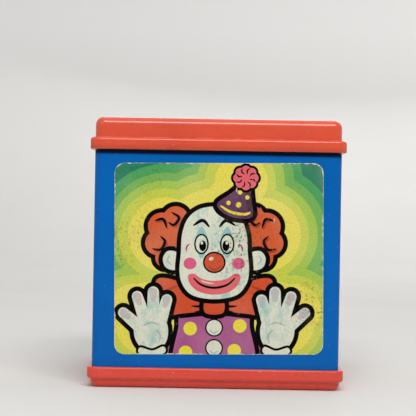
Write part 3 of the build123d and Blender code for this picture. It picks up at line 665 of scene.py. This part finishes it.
def gather(parts):
    """Several (points, faces) pairs as one."""
    points, faces = [], []
    for some_points, some_faces in parts:
        start = len(points)
        points += [Vector(p) for p in some_points]
        faces += [tuple(start + i for i in face) for face in some_faces]
    return points, faces


# ---- labels ----

STAINS = {"white": rgb(138, 186, 182), "shadow": rgb(120, 170, 170), "lilac": rgb(150, 184, 184)}
ink_materials = [ink("ink_" + name, rgb(*colour), stain=STAINS.get(name)) for name, colour in INKS.items()]
paint_materials = [ink("paint_" + name, rgb(*colour), 0.0) for name, colour in INKS.items()]
ink_order = list(INKS)


def set_inks(made, names):
    made.data.polygons.foreach_set("material_index", [ink_order.index(name) for name in names])


# Each label's direction to the right, and its tilt in degrees.
SIDES = {"front": ((1, 0, 0), -0.3), "right": ((0, 1, 0), 0.3), "back": ((-1, 0, 0), 0.2),
         "left": ((0, -1, 0), 0.85)}
CRANK_HOLE = 9.0
LABEL_WEAR = 0.7


def make_labels():
    for side, (right, tilt) in SIDES.items():
        node = side + "_label"
        low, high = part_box(node)
        middle = box_middle(node)
        across, up = Vector(right), Vector((0, 0, 1))
        outward = across.cross(up)
        sheet = abs((high - low).dot(outward))
        wall = middle - outward * 0.5 * sheet
        turn = Matrix.Rotation(radians(tilt), 2)
        hub = box_middle("crank_shaft") - middle
        hub = turn.inverted() @ Vector((hub.dot(across), hub.dot(up))) / MM
        art = label_art(LABEL_WEAR, (hub.x, hub.y, CRANK_HOLE) if side == "right" else None)
        flat, triangles, inks = art.triangles()
        used, front = in_use(triangles)
        points = []
        for lift in (sheet, 0.0):
            for i in used:
                q = turn @ flat[i]
                points.append(wall + outward * lift + (across * q.x + up * q.y) * MM)
        count = len(used)
        sides = {(a, b) for face in front for a, b in sides_of(face)}
        rim = [(a, b) for a, b in sorted(sides) if (b, a) not in sides]
        faces = front + [[i + count for i in reversed(face)] for face in front]
        faces += [[b, a, a + count, b + count] for a, b in rim]
        made = add_object("printed_" + node, points, faces, smooth=False)
        keep_piece(made, "case", "label_print", ink_materials, node)
        set_inks(made, inks + ["paper"] * (len(front) + len(rim)))
        made.data.update()


# ---- the clown ----

low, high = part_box("head_shell")
AXIS_X = (low.x + high.x) / 2 / MM
HEAD_RADIUS = (high.y - low.y) / 2 / MM
HEAD_Z = high.z / MM - HEAD_RADIUS
COSTUME_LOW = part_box("costume")[0].z / MM
COSTUME_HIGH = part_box("costume")[1].z / MM
RISE = next(j["range_m"][1] for j in frame["joints"] if j["name"] == "figure_rise") / MM


def swell(x, z):
    """How far cheeks, brow and chin stand out beyond the ball. x and z are from the ball's middle."""
    cheeks = sum(1.3 * exp(-((x - s * 12) ** 2 + (z + 8) ** 2) / 40) for s in (-1, 1))
    chin = 0.9 * exp(-(x ** 2 + (z + 21) ** 2) / 30)
    brow = 0.6 * exp(-(x ** 2 / 160 + (z - 13) ** 2 / 20))
    return cheeks + chin + brow


def on_face(x, z, lift):
    """Point on the front of the head, lift millimetres out of its surface."""
    depth = sqrt(max(HEAD_RADIUS ** 2 - x * x - z * z, 0.0))
    return Vector((AXIS_X + x, -depth - swell(x, z) - lift, HEAD_Z + z)) * MM


NECK_RADIUS = 11.6
EAR_DROP = 6


def make_head():
    rows = 72
    lowest = -acos(NECK_RADIUS / HEAD_RADIUS)

    def skin(i, angle):
        tilt = lowest + (pi / 2 - 0.001 - lowest) * i / (rows - 1)
        x = HEAD_RADIUS * cos(tilt) * cos(angle)
        y = HEAD_RADIUS * cos(tilt) * sin(angle)
        z = HEAD_RADIUS * sin(tilt)
        front = max(0.0, -sin(angle)) ** 0.5 if y < 0 else 0.0
        return AXIS_X + x, y - swell(x, z) * min(1.0, front * 1.6), HEAD_Z + z

    rim = [(NECK_RADIUS, -25.6), (12.6, -27.0), (12.2, -27.4), (10.9, -26.6), (10.6, -24)]
    collar = lathe([(r * MM, (HEAD_Z + z) * MM) for r, z in rim], 64, middle=(AXIS_X * MM, 0))
    ears = []
    for side in (-1, 1):
        ring = [Vector((AXIS_X + side * (HEAD_RADIUS + 0.2 + 1.6 * cos(a) ** 2), -2 - 4.2 * cos(a) * 0.7,
                        HEAD_Z - EAR_DROP + 4.6 * sin(a))) * MM for a in arc(120, 24)]
        ears.append(tube(ring, [MM * (0.9 + 0.7 * sin(pi * k / 24)) for k in range(25)], 10))
        lobe = [Vector((AXIS_X + side * (HEAD_RADIUS - 2.5 + out), -2.2, HEAD_Z - EAR_DROP)) * MM
                for out in (0, 1.5, 3, 3.9, 4.2)]
        ears.append(tube(lobe, [MM * r for r in (3.6, 3.5, 3.2, 2.2, 0.6)], 18))
    made = add_object("clown_head", *gather([wrapped(rows, 112, skin), collar, *ears]))
    skin_vinyl = vinyl("face_vinyl", rgb(236, 228, 208), rgb(226, 206, 188))
    keep_piece(made, "head", "face_vinyl", skin_vinyl, "head_shell")


PAINT_LIFT = 0.14
PAINT_THICKNESS = 0.12


def make_face_paint():
    art = Drawing()
    draw_face(art, 0.0, 0.0, 0.5)
    grid = [(u * 1.5, v * 1.5) for u in range(-16, 17) for v in range(-17, 15)]
    flat, triangles, inks = art.triangles(grid)
    points = [on_face(p.x * 1.06, p.y * 0.96 + 1.0, PAINT_LIFT) for p in flat]
    used, faces = in_use(triangles)
    made = add_object("face_paint", [points[i] for i in used], faces)
    keep_piece(made, "head", "face_vinyl", paint_materials)
    set_inks(made, inks)
    thicken(made, PAINT_THICKNESS * MM)


def make_nose():
    centre = box_middle("nose")
    bpy.ops.mesh.primitive_uv_sphere_add(segments=48, ring_count=32, radius=5.7 * MM, location=(0, 0, 0))
    made = bpy.context.object
    made.name = "clown_nose"
    for vertex in made.data.vertices:
        p = vertex.co
        dent = 1 - 0.05 * exp(-((p.x / MM) ** 2 + (p.z / MM - 5) ** 2) / 6)
        vertex.co = (Vector((p.x * 1.04, p.y * 0.95, p.z)) * dent
                     + Vector((centre.x, -(HEAD_RADIUS + 2.0) * MM, centre.z)))
    made.data.polygons.foreach_set("use_smooth", [True] * len(made.data.polygons))
    glossy = plastic("nose_red", rgb(206, 60, 36), rgb(232, 150, 130), 0.22, 0.1, 0.3)
    keep_piece(made, "head", "nose_red", glossy, "nose")


CURLS = 96
CURL_ROOT = 9.6
WIG_CORE = 10.9


def make_hair():
    light = yarn("hair_orange", rgb(214, 92, 30), rgb(238, 132, 62))
    for name in ("hair_left", "hair_right"):
        low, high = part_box(name)
        side = 1 if name == "hair_left" else -1
        centre = Vector((AXIS_X + side * 31.0, (low.y + high.y) / 2 / MM, (low.z + high.z) / 2 / MM))
        curls = []
        for k in range(CURLS):
            outward = spread(k, CURLS)
            root = centre + outward * CURL_ROOT
            if (root - Vector((AXIS_X, 0, HEAD_Z))).length < HEAD_RADIUS + 1.6:
                continue
            across = outward.orthogonal().normalized()
            along = outward.cross(across)
            spin, turns = dice.uniform(0, TAU), dice.uniform(1.3, 1.9)
            reach = dice.uniform(2.0, 2.9)
            path = []
            for i in range(20):
                t = i / 19
                a = spin + turns * TAU * t
                path.append((root + outward * (2.8 * sin(pi * t) + 0.6)
                             + reach * (cos(a) * across + sin(a) * along) + along * (t - 0.5) * 1.4) * MM)
            curls.append(tube(path, [MM * 0.85 * (0.75 + 0.25 * sin(pi * i / 19)) for i in range(20)], 6))
        core = lathe([(WIG_CORE * cos(a) * MM, (centre.z + WIG_CORE * sin(a)) * MM) for a in arc(89, 16)],
                     28, middle=(centre.x * MM, centre.y * MM))
        made = add_object("curly_" + name, *gather(curls + [core]))
        keep_piece(made, "head", "hair_orange", light, name)


def spot_reach(u, v, pitch, radius):
    """Distance to the nearest of a staggered grid of round spots, as a share of a spot's radius."""
    row = round(v / pitch)
    best = 9.0
    for r in (row - 1, row, row + 1):
        shift = pitch / 2 if r % 2 else 0.0
        column = round((u - shift) / pitch)
        best = min(best, hypot(u - shift - column * pitch, v - r * pitch))
    return best / radius


def set_spots(made, values):
    made.data.attributes.new("spot", "FLOAT", "POINT").data.foreach_set("value", values)


HAT_BASE = 94.0
HAT_LEAN = tan(radians(6))


def make_hat():
    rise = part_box("hat")[1].z / MM - HAT_BASE
    around, rows = 72, 40
    profile = [(19.6, -1.2), (20.4, -0.4), (20.2, 0.8), (19.4, 1.4)]
    for t in (i / (rows - 1) for i in range(rows)):
        profile.append((19.0 * (1 - t) ** 0.94 + 2.0 * t, 1.8 + (rise - 1.8) * t))

    def felt(index, angle):
        radius, height = profile[index]
        lean = -height * HAT_LEAN - 0.9 * sin(height * 0.08)
        r = radius * (1 + 0.012 * sin(3 * angle + height * 0.2)) + 0.25 * sin(height * 1.1) * (height > 6)
        return AXIS_X + lean + r * cos(angle), r * sin(angle), HAT_BASE + height

    points, faces = wrapped(len(profile), around, felt)
    made = add_object("cone_hat", points, faces + caps(points, around)[1:])
    set_spots(made, [spot_reach(TAU * k / around * 12.0, height, TAU * 12 / 6, 2.6) if height > 4 else 9.0
                     for _, height in profile for k in range(around)])
    purple = cloth("hat_felt", rgb(98, 46, 104), rgb(226, 206, 70), 3200, 0.5)
    keep_piece(made, "head", "hat_felt", purple, "hat")
    band = ((20.2, 0.6), (20.9, 1.6), (20.7, 3.8), (19.2, 4.6))
    band = lathe([(r * MM, (HAT_BASE + z) * MM) for r, z in band], 72, middle=((AXIS_X - 0.5) * MM, 0))
    ribbon = add_object("hat_band", *band)
    thicken(ribbon, 0.4 * MM)
    keep_piece(ribbon, "head", "ruff_cloth", cloth("band_yellow", rgb(226, 196, 60)))


STRANDS = 230


def make_pompom():
    centre = box_middle("hat_tassel") / MM
    strands = []
    for k in range(STRANDS):
        outward = spread(k, STRANDS)
        droop = Vector((dice.uniform(-1, 1), dice.uniform(-1, 1), dice.uniform(-1, 0.6)))
        length = dice.uniform(5.6, 6.6)
        path = [(centre + outward * (1.5 + (length - 1.5) * t) + droop * t * t) * MM
                for t in (0, 0.35, 0.7, 1.0)]
        strands.append(tube(path, [MM * r for r in (0.35, 0.55, 0.62, 0.4)], 5))
    made = add_object("yarn_pompom", *gather(strands))
    pink = yarn("tassel_yarn", rgb(222, 96, 120), rgb(240, 138, 150))
    keep_piece(made, "head", "tassel_yarn", pink, "hat_tassel")


PLEATS = 26
RUFF_INSIDE = 15.0


def make_ruff():
    """Two layers of pleats, set a quarter of a pleat apart."""
    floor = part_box("ruff_collar")[0].z / MM
    steps = 10
    layers = []
    for layer, (lift, phase) in enumerate(((0.9, 0.0), (2.9, pi / 2))):
        def pleated(i, angle):
            t = i / steps
            fold = sin(PLEATS * angle + phase + 0.3 * sin(3 * angle))
            r = RUFF_INSIDE + (11.0 - 1.2 * layer) * t + 0.7 * t * cos(2 * PLEATS * angle)
            return (AXIS_X + r * cos(angle), r * sin(angle),
                    floor + lift + 1.5 * fold * t ** 0.8 - 0.6 * t * t)

        layers.append(wrapped(steps + 1, 520, pleated))
    made = add_object("pleated_ruff", *gather(layers))
    thicken(made, 0.35 * MM)
    keep_piece(made, "figure", "ruff_cloth", cloth("ruff_cloth", rgb(236, 214, 88)), "ruff_collar")


def make_bow():
    """Two puffed wings and a knot."""
    low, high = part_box("bow_tie")
    centre = Vector((AXIS_X, (low.y + high.y) / 2 / MM, (low.z + high.z) / 2 / MM))
    parts = []
    rows, around = 22, 40
    for side in (-1, 1):
        def wing(i, a):
            t = i / (rows - 1)
            half = 2.2 + 4.4 * sin(pi * 0.5 * min(1.0, t * 1.25)) ** 1.4
            thick = (2.0 + 0.8 * sin(pi * t)) * (1 - 0.75 * max(0.0, t - 0.86) / 0.14)
            half *= 1 - 0.25 * max(0.0, t - 0.9) / 0.1
            pleat = 0.45 * cos(4 * a) * (1 - t) ** 0.8
            return centre + Vector((side * (2.0 + 16.4 * t),
                                    (thick * 0.9 + pleat) * sin(a) - 0.5 * sin(pi * t),
                                    (half + pleat) * cos(a) + 0.5 * t))

        points, faces = wrapped(rows, around, wing)
        parts.append((points, [face[::side] for face in faces + caps(points, around)[1:]]))
    knot_rows, knot_around = 12, 32

    def knot(i, b):
        a = pi * (i + 0.5) / knot_rows
        return centre + Vector((3.6 * sin(a) ** 0.5 * cos(b), 2.9 * sin(a) ** 0.5 * sin(b) - 0.4,
                                4.0 * cos(a) * (1 + 0.05 * cos(4 * b))))

    points, faces = wrapped(knot_rows, knot_around, knot)
    parts.append((points, [face[::-1] for face in faces + caps(points, knot_around)]))
    made = add_object("puffed_bow", *gather(parts))
    keep_piece(made, "figure", "bow_cloth", cloth("bow_cloth", rgb(206, 78, 36)), "bow_tie")


SLEEVE_GIRTH = 33


def make_sleeves_and_hands():
    printed = cloth("sleeve_cloth", rgb(146, 76, 134), rgb(226, 210, 74))
    white = vinyl("glove_vinyl", rgb(238, 236, 228), rgb(222, 214, 200))
    for side, hand_node, sleeve_node in ((1, "hand_left", "sleeve_left"), (-1, "hand_right", "sleeve_right")):
        palm = box_middle(hand_node) / MM
        shoulder = Vector((AXIS_X + side * 16.8, -14.4, 45.0))
        wrist = Vector((palm.x - side * 4.4, palm.y + 0.9, palm.z - 11.0))
        path, radii, rows, sides = [], [], 56, 40
        for i in range(rows):
            t = i / (rows - 1)
            sag = sin(pi * t)
            path.append((shoulder.lerp(wrist, t) + Vector((side * 0.6 * sag, -1.2 * sag, -1.8 * sag))) * MM)
            radii.append((4.1 + 1.1 * t + 0.4 * sin(34 * t) * (1 - 0.4 * t)
                          - 1.0 * exp(-((t - 0.93) / 0.03) ** 2)) * MM)
        points, faces = tube(path, radii, sides, cap=False)
        made = add_object("cloth_" + sleeve_node, points, faces)
        length = (wrist - shoulder).length
        set_spots(made, [spot_reach(k / sides * SLEEVE_GIRTH, i / (rows - 1) * length, SLEEVE_GIRTH / 4, 2.3)
                         for i in range(rows) for k in range(sides)])
        keep_piece(made, "figure", "costume_cloth", printed, sleeve_node)
        make_hand(palm, wrist, side, white, hand_node)


def ball(centre, radius):
    """Points and faces of a small ball."""
    rows = [(radius * cos(a), centre.z + radius * sin(a)) for a in arc(85, 8)]
    points, faces = lathe(rows, 14, middle=(centre.x, centre.y))
    return points, faces + caps(points, 14)


# The palm's bar, then the thumb's and the fingers': start, end and the radii there, about the palm's middle.
HAND_BARS = [((0, 0, -2), (0, 0, 2), 6.4, 6.2), ((-4.5, 0, -1), (-8.0, -0.6, 4.2), 3.0, 2.5),
             ((-3.4, 0, 3), (-4.9, -0.3, 9.6), 2.8, 2.5), ((1.0, 0, 3), (1.2, -0.3, 10.4), 2.8, 2.5),
             ((4.8, 0, 1), (7.2, -0.4, 7.0), 2.7, 2.4)]
HAND_FLATTENING = 0.62
CUFF_RADIUS = 5.0


def make_hand(palm, wrist, side, material, node):
    """Stuffed glove with a thumb and three fingers, blended from bars and balls."""
    def at(x, y, z):
        return Vector((palm.x + side * x, palm.y + y, palm.z + z)) * MM

    parts = []
    for start, end, first, last in HAND_BARS:
        a, b = at(*start), at(*end)
        path = [a.lerp(b, i / 8) for i in range(9)]
        parts.append(tube(path, [MM * (first + (last - first) * i / 8) for i in range(9)], 16))
        parts += [ball(a, first * MM), ball(b, last * MM)]
    heel = at(0, 0, -3)
    grip = (wrist * MM - heel).normalized()
    parts.append(tube([heel, heel + grip * 5 * MM, wrist * MM - grip * 1.2 * MM],
                      [5.4 * MM, 4.9 * MM, 4.4 * MM], 20))
    made = add_object("glove_" + node, *gather(parts))
    for vertex in made.data.vertices:
        vertex.co.y = palm.y * MM + (vertex.co.y - palm.y * MM) * HAND_FLATTENING
    applied(made, ("REMESH", {"mode": "VOXEL", "voxel_size": 0.5 * MM}),
            ("CORRECTIVE_SMOOTH", {"iterations": 5, "factor": 0.5, "use_only_smooth": True}))
    across = grip.orthogonal().normalized()
    other = grip.cross(across)
    middle = wrist * MM - grip * 0.5 * MM
    roll = [middle + CUFF_RADIUS * MM * (cos(a) * across + sin(a) * other) for a in [*angles(32), TAU]]
    cuff = tube(roll, 1.25 * MM, 12, cap=False)
    palm_mesh = [v.co for v in made.data.vertices], [tuple(p.vertices) for p in made.data.polygons]
    points, faces = gather([palm_mesh, cuff])
    bpy.data.objects.remove(made)
    glove = add_object("glove_" + node, points, faces)
    keep_piece(glove, "figure", "glove_vinyl", material, node)


COSTUME_RADIUS = 24.0
FOLDS = 16


def make_costume():
    """Spotted cloth over the spring, folded up as at rest. Its spots are spaced for the length it has once
    the clown has risen.
    """
    around = 144
    bottom, top = COSTUME_LOW, COSTUME_HIGH
    long = top - bottom + RISE
    rows = FOLDS * 14

    def folded(i, angle):
        t = i / rows
        fold = sin(TAU * FOLDS * t - pi / 2)
        close = max(0.0, 1 - t / 0.02) + max(0.0, (t - 0.98) / 0.02)
        ripple = 0.35 * sin(9 * angle + 5 * t * TAU) + 0.3 * sin(4 * angle - 3 * t * TAU)
        radius = COSTUME_RADIUS + 2.1 * fold + ripple * (1 - close) - 1.3 * close
        return AXIS_X + radius * cos(angle), radius * sin(angle), bottom + (top - bottom) * t

    made = add_object("spotted_costume", *wrapped(rows + 1, around, folded))
    girth = TAU * COSTUME_RADIUS
    set_spots(made, [spot_reach(TAU * k / around * COSTUME_RADIUS, long * (i / rows), girth / 8, 5.2)
                     for i in range(rows + 1) for k in range(around)])
    spotted = cloth("costume_cloth", rgb(146, 76, 134), rgb(226, 210, 74))
    keep_piece(made, None, "costume_cloth", spotted, "costume")
    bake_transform(made)


def make_spring():
    low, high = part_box("body_spring")
    wire = 0.8
    radius = (high.x - low.x) / 2 / MM - wire
    bottom, top = low.z / MM + wire, high.z / MM - wire
    turns, steps, sides = 9, 48, 10
    count = turns * steps
    path = [Vector((AXIS_X + radius * cos(TAU * i / steps), radius * sin(TAU * i / steps),
                    bottom + (top - bottom) * i / count)) * MM for i in range(count + 1)]
    points, faces = tube(path, wire * MM, sides)
    made = add_object("coiled_spring", points, faces)
    keep_piece(made, None, "spring_steel", spring_steel, "body_spring")
    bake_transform(made)


# ---- finishes of the CAD pieces ----

spring_steel = metal("spring_steel", rgb(176, 176, 180), 0.26, (1, 1, 14))


def dress_cad():
    """Gives every CAD node that shows its own finish."""
    screw_steel = metal("screw_steel", rgb(190, 188, 182), 0.34)
    pressed = metal("pressed_steel", rgb(184, 182, 176), 0.36, (1, 16, 1), 0.35)
    brass = metal("movement_brass", rgb(196, 158, 86), 0.3, (12, 1, 1), 0.35)
    white = plastic("crank_white", rgb(232, 228, 216), rgb(196, 184, 160), 0.36)
    nylon = plastic("gear_nylon", rgb(226, 220, 200), rgb(184, 172, 146), 0.5)
    # Painted shade: a near-black band on the case under the lid's overhang, and a weaker one along the lid's
    # lower edge.
    blue_painted_shade, red_painted_shade = (0.1267, 0.1296, 0.0001, 0.95), (0.1270, 0.1300, 0.0030, 0.24)
    finishes = {
        plastic("case_blue", rgb(4, 97, 178), rgb(110, 162, 208), gloss=0.1, painted_shade=blue_painted_shade): ["case_body"],
        # Partly painted highlight: the lid's pale worn edges are stronger than the other parts' wear, which
        # brightens the light lines along its edges.
        plastic("lid_red", rgb(221, 82, 55), rgb(246, 190, 170), edge=0.6, painted_shade=red_painted_shade): ["lid_shell"],
        plastic("base_red", rgb(222, 70, 53), rgb(240, 176, 160), 0.28, 0.55, 0.9): ["base_tray"],
        white: ["crank_arm", "crank_bush", "latch_lever"],
        nylon: ["drum_gear", "crank_pinion", "release_cam"],
        plastic("knob_yellow", rgb(236, 186, 40), rgb(246, 224, 150), 0.3): ["crank_knob"],
        plastic("inner_plastic", rgb(40, 84, 146), rgb(110, 140, 184), 0.45):
            ["spring_seat", "spring_cap", "neck_plug"],
        screw_steel: ["base_screws", "keeper_screws", "frame_screws", "comb_screws", "seat_screws",
                      "crank_screw"],
        spring_steel: ["hinge_pin", "latch_pin", "latch_spring", "tone_comb", "drum_shaft", "crank_shaft",
                       "knob_pin"],
        pressed: ["movement_frame", "lid_keeper"],
        brass: ["tune_drum"],
    }
    for material, nodes in finishes.items():
        for node in nodes:
            mesh = frame["nodes"][node].data
            mesh.materials.clear()
            mesh.materials.append(material)


# ---- studio ----

def make_studio():
    """Pale floor that curves up all round, a soft main light high up on the camera's side, and weaker ones
    overhead and about the object.
    """
    flat, bend, top = 1.1, 1.1, 2.2
    rows = [(0.02, 0.0), (0.5, 0.0), (flat, 0.0)]
    rows += [(flat + bend * sin(a), bend - bend * cos(a)) for a in (radians(5 * k) for k in range(1, 19))]
    around = 96
    points, faces = lathe(rows + [(flat + bend, top)], around)
    faces = caps(points, around)[:1] + faces
    floor = add_object("studio_floor", points, [face[::-1] for face in faces])
    pale = Finish("floor_pale", Roughness=0.85, Specular_IOR_Level=0.15)
    tone = pale.mix(pale.patches(6, 3, 0.3, 0.7), rgb(220, 218, 215), rgb(224, 222, 219))
    parts = pale.add("SeparateXYZ", {0: pale.place}).outputs
    # Painted light: the walls are painted a brighter white from 5 cm to 50 cm up, standing in for light
    # falling on the backdrop.
    tone = pale.mix(pale.between(parts["Z"], 0.05, 0.5), tone, rgb(246, 245, 243))
    tone = pale.mix(pale.between(parts["X"], -0.75, -1.15), tone, rgb(176, 176, 176))
    pale.feed(pale.shader.inputs["Base Color"], tone)
    floor.data.materials.append(pale.material)
    world = bpy.data.worlds.new("studio")
    world.use_nodes = True
    glow = world.node_tree.nodes["Background"].inputs
    glow["Color"].default_value = (0.93, 0.94, 0.96, 1)
    glow["Strength"].default_value = 0.4
    scene.world = world
    # Each light's name, place, size, power in watts, and the point it is aimed at.
    lights = [("main", (-0.95, -0.15, 1.2), (1.1, 0.45), 15.7, (-0.05, 0, 0.1)),
              ("overhead", (0.2, 0.1, 1.6), (1.2, 1.2), 2.5, (0, 0, 0.07)),
              ("front_left", (-1.2, 1.1, 0.9), (0.7, 0.7), 1.2, (0, 0, 0.07)),
              ("right", (1.6, -0.2, 0.9), (1.0, 0.8), 4.0, (0, 0, 0.07)),
              ("backdrop", (1.1, -0.8, 1.6), (1.2, 0.8), 6.5, (2.2, -0.7, 0.8))]
    for name, place, size, power, aim in lights:
        data = bpy.data.lights.new(name, "AREA")
        data.shape = "RECTANGLE"
        data.size, data.size_y = size
        data.energy = power
        lamp = place_in_scene(name, data)
        lamp.location = place
        lamp.rotation_mode = "QUATERNION"
        lamp.rotation_quaternion = (Vector(aim) - Vector(place)).to_track_quat("-Z", "Y")


def make_camera():
    """Level camera square on to the left side, at two thirds of the object's height."""
    distance, frame_width, roll = 0.650, 0.2255, radians(1.0)
    aside, height = 0.0053, 0.0985
    data = bpy.data.cameras.new("camera")
    data.sensor_width = 36.0
    data.lens = data.sensor_width * distance / frame_width
    data.clip_start, data.clip_end = 0.05, 20.0
    camera = place_in_scene("camera", data)
    face_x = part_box("lid_shell")[0].x
    camera.location = (face_x - distance, aside, height)
    camera.rotation_euler = (Matrix.Rotation(radians(-90), 3, "Z") @ Matrix.Rotation(radians(90), 3, "X")
                             @ Matrix.Rotation(roll, 3, "Z")).to_euler()
    scene.camera = camera


make_camera()
make_studio()
dress_cad()
make_labels()
make_head()
make_face_paint()
make_nose()
make_hair()
make_hat()
make_pompom()
make_ruff()
make_bow()
make_sleeves_and_hands()
make_costume()
make_spring()
scene.view_settings.view_transform = "Standard"
